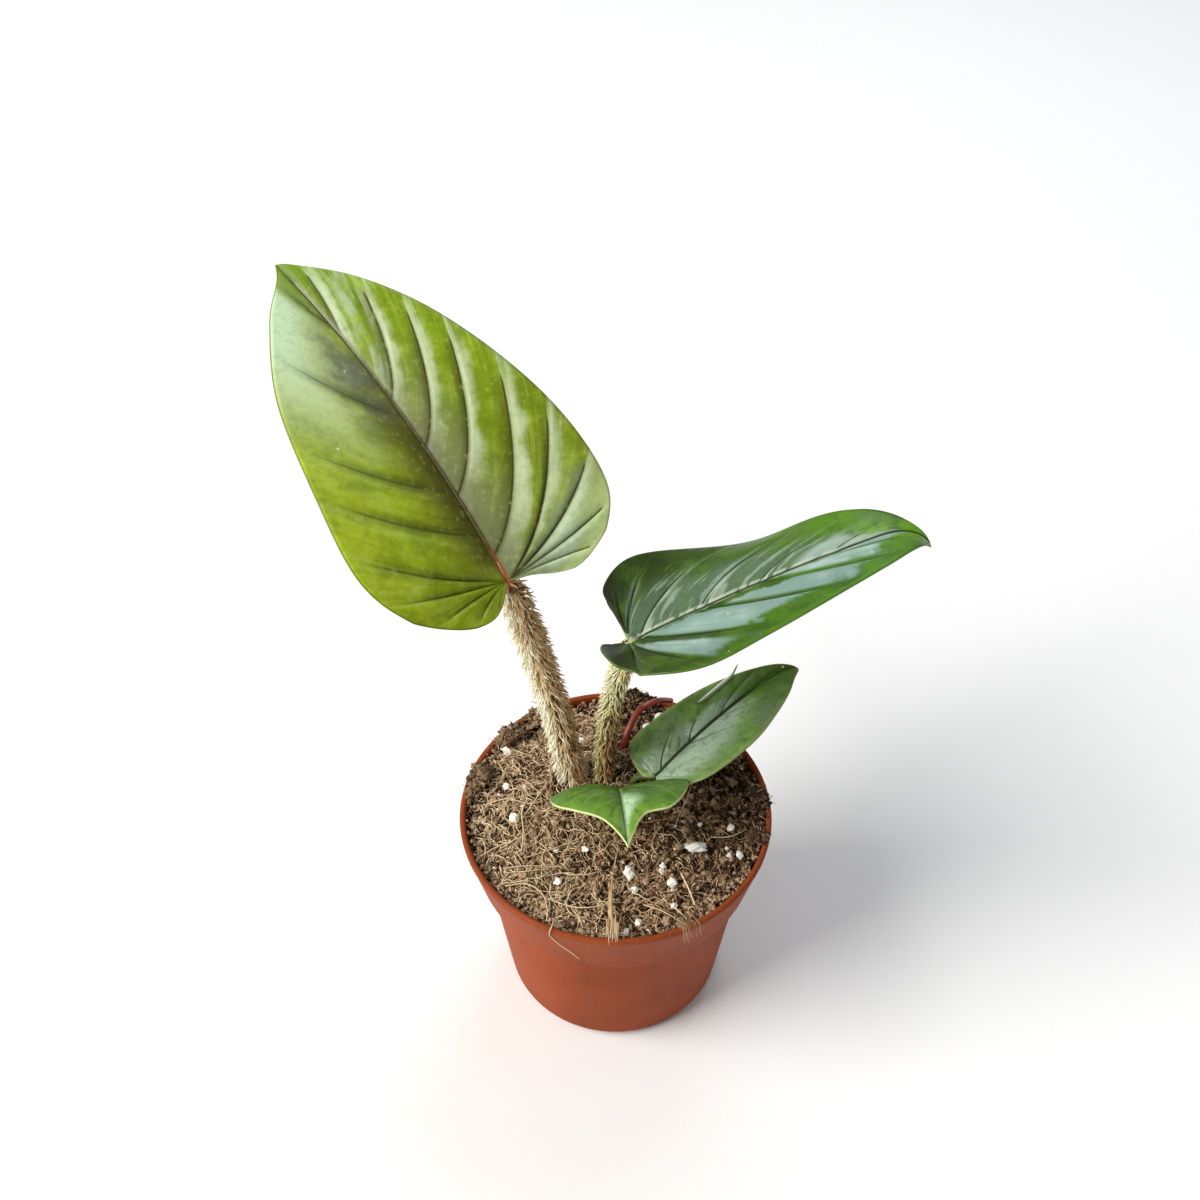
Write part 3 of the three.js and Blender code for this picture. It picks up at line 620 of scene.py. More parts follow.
def make_perlite(chalk):
    draw = random.Random(8)
    grains = []
    for x, y, width, *depth in PERLITE:
        narrow = depth[0] if depth else 1
        flat = 0.75 * narrow
        grains.append((x, y, soil_height(x, y) + 0.37 * width * flat, width, flat, 0, narrow))
    for _ in range(70):
        x, y = free_spot(draw, 55, 1)
        width = 0.8 + 1.7 * draw.random() ** 2
        grains.append((x, y, rough_soil(x, y) + 0.2 * width, width, 0.8, 0, 1))
    scatter("perlite_grains", grains, [lump_template(3, 0.6, k + 20) for k in range(6)], chalk)


def lying_path(draw, x, y, length, bend, lift):
    """A wandering line over the soil, in mm."""
    heading = draw.uniform(0, 2 * math.pi)
    turn = draw.uniform(-bend, bend)
    steps = 4 if length < 7 else 9
    points = []
    rise = lift * draw.random() ** 2
    for i in range(steps + 1):
        s = i / steps
        z = rough_soil(x, y) + 0.25 + rise * math.sin(math.pi * s) - (0.5 if i in (0, steps) else 0)
        if math.hypot(x, y) > 56.2:
            break
        points.append(Vector((x, y, z)))
        heading += turn / steps + draw.uniform(-0.22, 0.22)
        x += length / steps * math.cos(heading)
        y += length / steps * math.sin(heading)
    return points


def make_coir(name, coir, count, seed, shortest, longest, lift):
    """Coir strands in every direction, thickest and lightest on the left and in front, with painted shade in
    the hollows.
    """
    draw = random.Random(seed)
    paths = []
    for _ in range(count):
        x, y = free_spot(draw, 55.5)
        high = relief(x, y)
        if draw.random() < 0.5 and (high < -0.15 or (x > 5 and y > -30)):
            continue
        length = shortest + (longest - shortest) * draw.random() ** 2
        points = lying_path(draw, x, y, length, 2.4, lift)
        if len(points) < 4:
            continue
        radius = draw.uniform(0.1, 0.24)
        radii = [radius * (1 - 0.6 * abs(2 * i / (len(points) - 1) - 1) ** 3) for i in range(len(points))]
        # Lighter on the left and in front; painted shade darkens strands in the hollows and painted light
        # lightens them where the soil rises
        dry = 0.36 - 0.007 * x - 0.003 * y + 0.2 * high
        paths.append((points, radii, clamp(draw.gauss(dry, 0.2), 0, 0.85)))
    return strands(name, paths, coir, "potting_mix")


def make_clump_fibres(coir):
    """Short fibres that stick out of the clumps at the lip."""
    draw = random.Random(27)
    paths = []
    for degrees, width in RIM_CLUMPS:
        for _ in range(int(9 * width)):
            start = Vector(in_clump(draw, degrees, width))
            reach = Vector((draw.gauss(0, 1), draw.gauss(0, 1), draw.gauss(0.1, 0.4)))
            reach *= draw.uniform(0.8, 2.2)
            middle = start + reach * 0.5 + Vector((0, 0, 0.4))
            points = through([start, middle, start + reach], 4)
            paths.append((points, [0.17, 0.16, 0.14, 0.11, 0.06], clamp(draw.gauss(0.25, 0.2), 0, 0.7)))
    return strands("clump_fibres", paths, coir, "potting_mix")


# Longer fibres and root ends that the photograph shows: stops in mm with the
# height above the soil as the third value, and the strand's thickness
ROOT_ENDS = [
    ([(-41, -34.5, 0.6), (-33, -34.5, 1.5), (-27, -39, 1.8), (-25, -46, 1.4), (-25.5, -50, 1)], 0.34),
    ([(-25.5, -40, 0.4), (-15, -44.5, 1.5), (-6, -44, 1.8), (1, -40, 1)], 0.3),
    ([(-34, 6, 0.6), (-36, -2, 2), (-35, -12, 2.4), (-35.5, -20, 1.2)], 0.36),
    ([(-35.5, -4, 1), (-31, 4, 2), (-27, 12, 1.2)], 0.3),
    ([(-51, -21, 0.8), (-44, -17, 1.6), (-36, -14, 1.2), (-31, -10, 0.8)], 0.3),
    ([(-34, -23, 0.6), (-25, -20, 1.8), (-16, -16, 1.4), (-8, -11, 0.8)], 0.28),
    ([(-42, -27, 0.8), (-32, -27, 1.5), (-22, -27, 0.8)], 0.28),
    ([(24, -30, 0.8), (26.5, -37, 1.6), (28.5, -43, 1)], 0.42),
    ([(17, -41, 0.8), (22, -45.5, 1.4), (25.5, -49, 0.8)], 0.4),
    ([(10, -43, 0.6), (17, -46.5, 1.6), (25, -51.5, 1.2)], 0.3),
    ([(36, -13, 0.6), (43, -13, 1.4), (50, -9, 0.8)], 0.26),
    ([(28, 5, 0.6), (25, -2, 1.6), (23, -8, 0.8)], 0.3),
    ([(-50, 3, 0.6), (-42, 5, 1.4), (-34, 3, 1), (-28, 4, 0.6)], 0.28),
]


def make_root_ends(root):
    draw = random.Random(3)
    paths = []
    for stops, thick in ROOT_ENDS:
        lifted = [(x, y, soil_height(x, y) + up) for x, y, up in stops]
        points = through(lifted, 14)
        paths.append((points, [thick * (1 - 0.5 * i / 14) for i in range(15)], draw.uniform(0.45, 0.7)))
    # One fibre hangs over the lip and down the front of the collar
    over = [(-22.5, -51, 95.2), (-23.5, -54.6, 95.9), (-24, -55.4, 94.6), (-23.8, -54.8, 91),
            (-20.5, -55.3, 86.5), (-16.2, -56, 82), (-13.5, -56.1, 78.3)]
    paths.append((through(over, 22), [0.3 * (1 - 0.5 * i / 22) for i in range(23)], 0.55))
    # A tuft of fine roots hangs over the lip further right
    for _ in range(16):
        a = math.radians(draw.uniform(-67, -60))
        c, s = math.cos(a), math.sin(a)
        drop = draw.uniform(1.5, 7)
        out = draw.uniform(0.15, 0.9)
        lean = draw.uniform(-1.2, 1.2)
        start = draw.uniform(3, 7)
        stops = [((RIM_RADIUS - start) * c, (RIM_RADIUS - start) * s, 94.4),
                 ((RIM_RADIUS - 0.8) * c, (RIM_RADIUS - 0.8) * s, 95.5),
                 ((RIM_RADIUS + out) * c, (RIM_RADIUS + out) * s, 94),
                 ((RIM_RADIUS + out) * c + lean, (RIM_RADIUS + out) * s, 94 - drop)]
        paths.append((through(stops, 9), [0.12 * (1 - 0.06 * i) for i in range(10)], draw.uniform(-0.2, 0.2)))
    # The straw's lower end is frayed
    for k in range(9):
        x = -3.4 + 0.5 * k
        lower = (x + draw.uniform(-0.7, 0.7), draw.uniform(-61.5, -58), 96 + draw.uniform(-0.4, 0.5))
        stops = [(x, -48 - draw.uniform(0, 5), 96.5), (x + draw.uniform(-0.3, 0.3), -55, 96.7), lower]
        paths.append((through(stops, 6), [0.16, 0.2, 0.2, 0.18, 0.16, 0.12, 0.06], draw.uniform(0.2, 0.7)))
    return strands("root_ends", paths, root, "potting_mix")


def make_straw(straw):
    """A split sliver of straw that lies on the soil and sticks out to the lip."""
    stops = [(0.3, -22.2, 96.2), (-1.4, -33, 96.4), (-2.3, -43, 96.3), (-2.1, -52, 96.2), (-1.6, -58.2, 96.3)]
    spine = through(stops, 24)
    bm = bmesh.new()
    bmesh.ops.create_grid(bm, x_segments=24, y_segments=4, size=1)
    for v in bm.verts:
        s = (v.co.x + 1) / 2
        k = min(int(s * 24 + 0.5), 24)
        half = 0.25 + 0.65 * smoothstep(0.2, 0.55, s) - 0.25 * smoothstep(0.85, 1, s)
        fray = 0.5 * noise.noise(Vector((s * 14, v.co.y * 2, 3)))
        across = v.co.y * (half + fray * 0.6)
        p = spine[k]
        v.co = ((p.x + across) * MM, p.y * MM, (p.z + 0.35 * math.sin(v.co.y * 3.1) + 0.3 * fray) * MM)
    layer = bm.verts.layers.float.new("tone")
    for v in bm.verts:
        v[layer] = 0.6 + 0.3 * noise.noise(v.co * 900)
    bmesh.ops.solidify(bm, geom=bm.faces[:], thickness=0.35 * MM)
    bmesh.ops.recalc_face_normals(bm, faces=bm.faces)
    place_piece(mesh_of(bm, "straw_sliver"), "straw_sliver", [straw], "potting_mix")


# Blades: the same driving sizes as the part

BLADES = {
    "leaf_a": dict(
        base=(-38, 19, 196.5), length=142, quilt=1.8,
        veins=[0, 0.1, 0.19, 0.285, 0.39, 0.483, 0.558, 0.617, 0.675, 0.73, 0.79, 0.88, 1],
        left=dict(width=54.5, lobe=0.71, fold=21, curl=-11, outline=[
            (0, 0), (0.24, -0.1), (0.52, -0.1), (0.84, 0), (1.01, 0.14),
            (0.94, 0.36), (0.74, 0.63), (0.39, 0.84), (0.1, 0.95), (0, 1)],
            faint=[8, 10], fan=0.5, gather=0.95),
        right=dict(width=49, lobe=0.72, fold=20, curl=-9, outline=[
            (0, 0), (0.19, -0.02), (0.5, -0.07), (0.85, 0.01), (1.01, 0.12),
            (0.95, 0.34), (0.69, 0.62), (0.4, 0.82), (0.1, 0.96), (0, 1)]),
        yaw=127.5, pitch=37.4, roll=-5, droop=15, sweep=10.5, twist=15.5, lobe_lift=-11,
        hook_pitch=0, hook_yaw=0, fan=0.6, gather=0.85),
    "leaf_b": dict(
        base=(4.4, 14.1, 171.6), length=121.3, quilt=1.5,
        veins=[0, 0.13, 0.26, 0.38, 0.49, 0.6, 0.69, 0.77, 0.86, 1],
        left=dict(width=37, lobe=0.79, fold=10, curl=-3.1, outline=[
            (0, 0), (0.22, 0.01), (0.56, -0.02), (0.85, -0.01), (1.06, 0.1),
            (0.89, 0.31), (0.69, 0.61), (0.39, 0.81), (0.1, 0.93), (0, 1)],
            waves=[(0.54, 0.24, -15.7), (0.88, 0.15, 6.4)]),
        right=dict(width=33.2, lobe=1, fold=7.1, curl=-5.7, outline=[
            (0, 0), (-0.034, -0.083), (0.43, -0.125), (0.61, -0.054), (1.02, 0.1),
            (0.9, 0.34), (0.68, 0.61), (0.41, 0.87), (0.1, 0.98), (0, 1)],
            waves=[(0, 0.15, 5.7)], faint=[1, 2]),
        yaw=15.3, pitch=22.5, roll=10.1, droop=21.4, sweep=8.5, twist=-4.2, lobe_lift=-86.8,
        hook_pitch=57.1, hook_yaw=-48.5, fan=0.58, gather=1.1),
    "leaf_c": dict(
        base=(15.6, 9.3, 102.4), length=80.4, quilt=0.9,
        veins=[0, 0.22, 0.44, 0.6, 0.69, 0.78, 0.88, 1],
        left=dict(width=17, lobe=0.3, fold=16.4, curl=3.1, outline=[
            (0, 0), (0.22, -0.12), (0.53, -0.09), (0.84, 0.01), (1.06, 0.07),
            (0.9, 0.35), (0.69, 0.56), (0.37, 0.8), (0.1, 0.96), (0, 1)]),
        right=dict(width=26, lobe=0.3, fold=21, curl=-5.1, outline=[
            (0, 0), (0.22, -0.1), (0.55, -0.15), (0.83, 0.01), (1.03, 0.13),
            (0.97, 0.38), (0.71, 0.62), (0.4, 0.84), (0.12, 0.98), (0, 1)]),
        yaw=44.1, pitch=17.5, roll=17.3, droop=26.4, sweep=-2, twist=-32.3, lobe_lift=0,
        hook_pitch=0, hook_yaw=-25.8, fan=0.58, gather=1.1),
    "leaf_d": dict(
        base=(1.2, -4.6, 111.7), length=39, quilt=0.7, veins=[0, 0.2, 0.4, 0.6, 0.8, 1],
        left=dict(width=25, lobe=0.9, fold=12, curl=-6, outline=[
            (0, 0), (0.23, -0.08), (0.55, -0.13), (0.86, -0.07), (1.01, 0.12),
            (0.95, 0.37), (0.69, 0.6), (0.3, 0.66), (0.06, 0.92), (0, 1)]),
        right=dict(width=25.8, lobe=1.1, fold=12.6, curl=-37, outline=[
            (0, 0), (0.22, -0.13), (0.55, -0.15), (0.85, -0.04), (1.03, 0.11),
            (0.96, 0.39), (0.69, 0.57), (0.31, 0.72), (0.07, 0.92), (0, 1)]),
        yaw=-87, pitch=46.5, roll=2, droop=53, sweep=2.8, twist=4.5, lobe_lift=-6,
        hook_pitch=0, hook_yaw=0, fan=0.58, gather=1.3),
}


def blade_axes(leaf, y):
    """Directions along, across and up from the blade at a distance y from its base."""
    u = max(y / leaf["length"], 0)
    behind = max(-y / leaf["length"], 0) / 0.15
    hook = max((u - 0.78) / 0.22, 0) ** 2
    pitch = math.radians(leaf["pitch"] - leaf["droop"] * u - leaf["hook_pitch"] * hook
                         + leaf["lobe_lift"] * behind)
    yaw = math.radians(leaf["yaw"] + leaf["sweep"] * u + leaf["hook_yaw"] * hook)
    roll = math.radians(leaf["roll"] + leaf["twist"] * u)
    along = Vector((math.cos(pitch) * math.cos(yaw), math.cos(pitch) * math.sin(yaw), math.sin(pitch)))
    level = Vector((math.sin(yaw), -math.cos(yaw), 0))
    across = level * math.cos(roll) + level.cross(along) * math.sin(roll)
    return along, across, across.cross(along)


def midrib(leaf, y):
    steps = 24
    place = Vector(leaf["base"])
    for i in range(steps):
        place += blade_axes(leaf, y * (i + 0.5) / steps)[0] * (y / steps)
    return place


def blade_point(leaf, side, x, y, height):
    half = leaf["right"] if side > 0 else leaf["left"]
    bend = math.radians(half["curl"]) / half["width"]
    fold = math.radians(half["fold"])
    reach = (math.sin(fold + bend * x) - math.sin(fold)) / bend
    rise = (math.cos(fold) - math.cos(fold + bend * x)) / bend
    for centre, spread, lift in half.get("waves", ()):
        rise += lift * (x / half["width"]) ** 2 * math.exp(-((y / leaf["length"] - centre) / spread) ** 2)
    _, across, up = blade_axes(leaf, y)
    return midrib(leaf, y) + across * (side * reach) + up * (rise + height)


def vein_start(leaf, half, t):
    """Where a lateral vein leaves the midrib, over the blade's length."""
    fan = half.get("fan", leaf["fan"])
    return 0 if t < fan else ((t - fan) / (1 - fan)) ** half.get("gather", leaf["gather"])


def flat_point(leaf, side, t, v):
    """A blade point before bending: across and along, in mm.

    t runs round the margin, v out from the midrib.
    """
    half = leaf["right"] if side > 0 else leaf["left"]
    points = [Vector(p) for p in half["outline"]]
    p = clamp(t, 0, 1) * (len(points) - 1)
    k = min(int(p), len(points) - 2)
    edge = catmull(points, k, p - k)
    # A lobe may reach past the midrib's line, behind the sinus
    edge_x = (edge.x if t < 0.3 else max(edge.x, 0)) * half["width"]
    edge_y = edge.y * leaf["length"] * (half["lobe"] if edge.y < 0 else 1)
    start_y = vein_start(leaf, half, t) * leaf["length"]
    bend_x = 0.55 * edge_x
    bend_y = start_y + 0.22 * (edge_y - start_y)
    x = 2 * v * (1 - v) * bend_x + v * v * edge_x
    y = (1 - v) ** 2 * start_y + 2 * v * (1 - v) * bend_y + v * v * edge_y
    return Vector((x, y))


def panel_at(leaf, half, t):
    """The panel that t lies in, how far across it, and the nearest vein that shows on this half."""
    shown = [place for k, place in enumerate(leaf["veins"]) if k not in half.get("faint", ())]
    k = clamp(bisect.bisect_right(shown, t) - 1, 0, len(shown) - 2)
    across = (t - shown[k]) / (shown[k + 1] - shown[k])
    return k, across, shown[k] if across < 0.5 else shown[k + 1]


def make_blade(name, skin, back, slot):
    """A blade with sunken veins and quilting, closed and as thick as the real one."""
    leaf = BLADES[name]
    veins = leaf["veins"]
    per_panel, columns = 11, 36
    rows = (len(veins) - 1) * per_panel
    bm = bmesh.new()
    bmesh.ops.create_grid(bm, x_segments=rows, y_segments=2 * columns, size=1)
    layers = {key: bm.verts.layers.float.new(key) for key in LEAF_PLACES}
    for vert in bm.verts:
        row = round((vert.co.x + 1) / 2 * rows)
        k = min(row // per_panel, len(veins) - 2)
        t = veins[k] + (veins[k + 1] - veins[k]) * (row / per_panel - k)
        side = 1 if vert.co.y >= 0 else -1
        v = abs(vert.co.y)
        half = leaf["right"] if side > 0 else leaf["left"]
        here = flat_point(leaf, side, t, v)
        panel, between, nearest = panel_at(leaf, half, t)
        to_vein = (here - flat_point(leaf, side, nearest, v)).length
        to_edge = (here - flat_point(leaf, side, t, 1)).length
        spread = min(1, 4 * here.x / half["width"]) * (1 - v * v)
        # Each panel swells most on the side that is nearer the tip
        hump = math.sin(math.pi * (1 - between) ** 0.7) ** 0.8 if 0 < between < 1 else 0
        furrow = 0.22 * math.exp(-(to_vein / 0.7) ** 2) * (1 - v ** 6)
        channel = 0.55 * math.exp(-(here.x / 1.3) ** 2) * (1 if here.y > 0 else 0)
        height = leaf["quilt"] * spread * hump - furrow - channel
        vert[layers["vein"]] = to_vein + 3 * max(v - 0.9, 0) * 10
        vert[layers["rib"]] = here.x if here.y > -0.5 else here.length
        vert[layers["edge"]] = to_edge
        vert[layers["along"]] = here.y / leaf["length"]
        vert[layers["turn"]] = panel + between
        vert[layers["out"]] = v
        vert[layers["half"]] = 0.5 if v == 0 else (1.0 if side > 0 else 0.0)
        vert.co = blade_point(leaf, side, here.x, here.y, height) * MM
    bmesh.ops.remove_doubles(bm, verts=bm.verts, dist=1e-5)
    bmesh.ops.dissolve_degenerate(bm, edges=bm.edges, dist=1e-6)
    middle = max(bm.faces, key=lambda f: f.calc_area())
    up = blade_axes(leaf, leaf["length"] / 2)[2]
    if middle.normal.dot(up) < 0:
        bmesh.ops.reverse_faces(bm, faces=bm.faces)
    blade = place_piece(mesh_of(bm, name + "_blade"), name + "_blade", [skin, back], slot, [name])
    wall = blade.modifiers.new("thickness", "SOLIDIFY")
    wall.thickness = BLADE_THICKNESS * MM
    wall.offset = 0
    wall.material_offset = 1


# Stalks: centre lines in mm, from the soil up to the blade

STEM_A = [(-15, 16, 84), (-15.9, 16.3, 93), (-18.6, 17.5, 107), (-22.2, 19, 130),
          (-28.9, 19.9, 161), (-34.4, 19.5, 185), (-38, 19, 196.5)]
STEM_B = [(-4.5, 16.8, 84), (-4.4, 16.8, 93), (-3.3, 17.1, 115), (-1.2, 16.7, 138.6),
          (3, 15.2, 162.8), (4.4, 14.1, 171.6)]
STEM_C = [(5.5, 13.5, 85), (6.2, 13.4, 92), (9, 12.5, 98), (15.6, 9.3, 102.4)]
STEM_D = [(-0.5, 8.5, 85), (-0.5, 7.5, 94), (0.3, 0.5, 101), (1.2, -4.6, 111.7)]
SHEATH = [(3.2, 26.5, 84), (3.3, 29.2, 93), (4.6, 32.5, 99.5), (8.8, 39.3, 105),
          (12.9, 42.7, 106), (17.9, 47.1, 104), (23.2, 52.5, 98)]


# From leaf C's margin to the free point of its flap, in mm
FLAP_TIP = Vector((2.6, 1, 7))


def plain_stalk(name, stops, radius_low, radius_top, material, slot, replaces=()):
    """A smooth young stalk: one thick tapering strand."""
    count = 40
    points = through(stops, count)
    radii = [radius_low + (radius_top - radius_low) * i / count for i in range(count + 1)]
    return strands(name, [(points, radii, 0.5)], material, slot, replaces, roundness=6)


def bristle_coat(name, stops, count, seed, leaf, lengths, shade, material):
    """A dense coat of soft bristles that stand out and bend down, on all sides of a stalk."""
    draw = random.Random(seed)
    line = through(stops, 120)
    steps = [0.0]
    for a, b in zip(line, line[1:]):
        steps.append(steps[-1] + (b - a).length)
    low = min(steps[i] for i, p in enumerate(line) if p.z > BRISTLES_FROM)
    high = steps[-1] - 0.8
    base, up = Vector(leaf["base"]), blade_axes(leaf, 0)[2]
    paths = []
    for n in range(count):
        s = low + (high - low) * (n + draw.random()) / count
        i = max(k for k in range(len(line) - 1) if steps[k] <= s)
        centre = line[i].lerp(line[i + 1], (s - steps[i]) / (steps[i + 1] - steps[i]))
        axis = (line[i + 1] - line[i]).normalized()
        side = Vector((0, 1, 0)).cross(axis).normalized()
        out = Matrix.Rotation(n * GOLDEN_ANGLE + draw.gauss(0, 0.5), 3, axis) @ side
        swirl = axis.cross(out) * draw.gauss(0, 0.45)
        up_stalk = (s - low) / (high - low)
        length = draw.uniform(*lengths) * (1 - 0.4 * smoothstep(0.94, 1, up_stalk))
        length *= 1 - 0.3 * max(out.x, 0)
        droop = draw.uniform(0.55, 1.3)
        points = [centre + out * (STEM_CORE - 0.4)]
        for k in range(4):
            f = (k + 0.5) / 4
            direction = out * (0.9 - 0.4 * f) - axis * (0.15 + droop * math.sin(2.4 * f)) + swirl * (0.5 + f)
            points.append(points[-1] + direction.normalized() * length / 4)
        for p in points:
            p.z = max(p.z, soil_height(p.x, p.y) + 0.3 + 0.3 * draw.random())
            # None comes up through the blade or its sinus
            p -= up * max((p - base).dot(up) + 0.9, 0)
        thick = draw.uniform(0.2, 0.34)
        tone = shade(out, up_stalk) + draw.gauss(0, 0.1) - (0.2 if draw.random() < 0.15 else 0)
        paths.append((points, [thick * part for part in (1, 1, 0.9, 0.75, 0.45)], clamp(tone, 0, 0.85)))
    return strands(name + "_bristles", paths, material, "bristle_straw", [name])


def long_coat_tone(out, up_stalk):
    """Painted light and shade: cream on the left side that faces the window, tan down the front, darker tan
    on the shaded right.
    """
    return 0.5 + 0.42 * max(-out.x, 0) - 0.18 * max(out.x, 0)


def short_coat_tone(out, up_stalk):
    """Yellowish cream near the blade, red-brown lower down; painted light lightens the left side and painted
    shade darkens the right.
    """
    return 0.36 + 0.28 * smoothstep(0.3, 0.8, up_stalk) + 0.28 * max(-out.x, 0) - 0.1 * max(out.x, 0)


def stalk_core(name, stops, material, slot):
    """The green-brown skin of the stalk, seen between the bristles."""
    line = through(stops, 60)
    top = line[-1]
    keep = [p for p in line if (top - p).length > 2.2]
    return plain_stalk(name, keep, STEM_CORE, STEM_CORE * 0.94, material, slot)


def dry_flap(material):
    """A dry flap on leaf C that crosses its upper margin and ends in a thin free point."""
    leaf = BLADES["leaf_c"]
    paths = []
    for k in range(5):
        places = ((0.68 - 0.004 * k, 0.74), (0.7, 0.86), (0.712, 0.97))
        stops = [blade_point(leaf, -1, *flat_point(leaf, -1, t, v), 0.3 + 0.35 * k) for t, v in places]
        stops.append(stops[-1] + FLAP_TIP * (1 - 0.12 * k))
        radii = [0.1 + 0.55 * math.sin(math.pi * (i / 12) ** 0.8) ** 0.8 for i in range(13)]
        paths.append((through(stops, 12), radii, 0.2 + 0.14 * k))
    return strands("leaf_c_dry_flap", paths, material, "leaf_grey_green")


def vein_star(name, leaf, material, slot):
    """Where the stalk joins: a knuckle with bristly vein bases that fan out under and over the sinus."""
    draw = random.Random(17)
    along, across, up = blade_axes(leaf, 0)
    base = Vector(leaf["base"])
    paths = []
    for k in range(9):
        fan = math.radians(-150 + 300 * k / 8)
        heading = along * math.cos(fan) + across * math.sin(fan)
        reach = 7.5 if abs(fan) < 2 else 4.5
        points = [base - up * 1.4 + heading * (reach * i / 6) + up * (2.0 * math.sin(math.pi * i / 12))
                  for i in range(7)]
        paths.append((points, [1.0 - 0.13 * i for i in range(7)], 0.1 + 0.02 * k))
    for _ in range(70):
        fan = math.radians(draw.uniform(-180, 180))
        heading = along * math.cos(fan) + across * math.sin(fan)
        start = base - up * draw.uniform(0.5, 3) + heading * draw.uniform(0.8, 2.6)
        tip = start + heading * draw.uniform(1.5, 3.5) + up * draw.uniform(-1.5, 1.0)
        middle = (start + tip) / 2 + up * 0.4
        paths.append((through([start, middle, tip], 3), [0.24, 0.2, 0.13, 0.04], draw.uniform(0.2, 0.6)))
    return strands(name, paths, material, slot)


# Everything is made here

plastic = terracotta_plastic()
peat = peat_mix("damp_peat", "140c06", "3a281a", "6d543c")
crumb_peat = peat_mix("dry_peat_crumb", "1e130b", "644a35", "b39678")
chalk = perlite()
coir = toned_fibre("coir_fibre", [(0.1, "33200f"), (0.4, "84613f"), (0.65, "bd9871"), (1.0, "e6cfa8")])
root_fibre = toned_fibre("dry_root_fibre", [(0.0, "7a5a3a"), (0.5, "c7a478"), (1.0, "ecd9b4")])
straw = toned_fibre("split_straw", [(0.3, "7d5c3c"), (0.75, "b8946a"), (1.1, "dcc49e")])
long_bristle = toned_fibre("soft_stalk_bristle", [(0.25, "7a4f2c"), (0.48, "b8935c"), (0.68, "d2aa7a"),
                                                  (0.9, "ebe0b2"), (1.1, "f6f0d8")], 0.5, 0.2)
short_bristle = toned_fibre("short_stalk_bristle", [(0.3, "4a2412"), (0.55, "8a5a38"), (0.78, "bfa56a"),
                                                    (0.98, "d8d492"), (1.15, "e8e6ba")], 0.5, 0.25)
stalk_skin = young_stalk("bristly_stalk_skin", "4a2e16", "6b4a28", 0.6)
# Painted shade: the young green stalks are darkened, as they stand in the shade behind leaf D
green_stalk = young_stalk("young_green_stalk", "35441a", "5a6a2e")
red_skin = young_stalk("red_sheath_skin", "6d2216", "a8402b", 0.3)
vein_foot = toned_fibre("rosy_vein_foot", [(0.05, "a9623a"), (0.4, "d08b5c"), (0.8, "ecc79a")])

# Where a coat lies: on the left half, on the right half
LEFT, RIGHT = ("half", 0.6, 0.4), ("half", 0.4, 0.6)

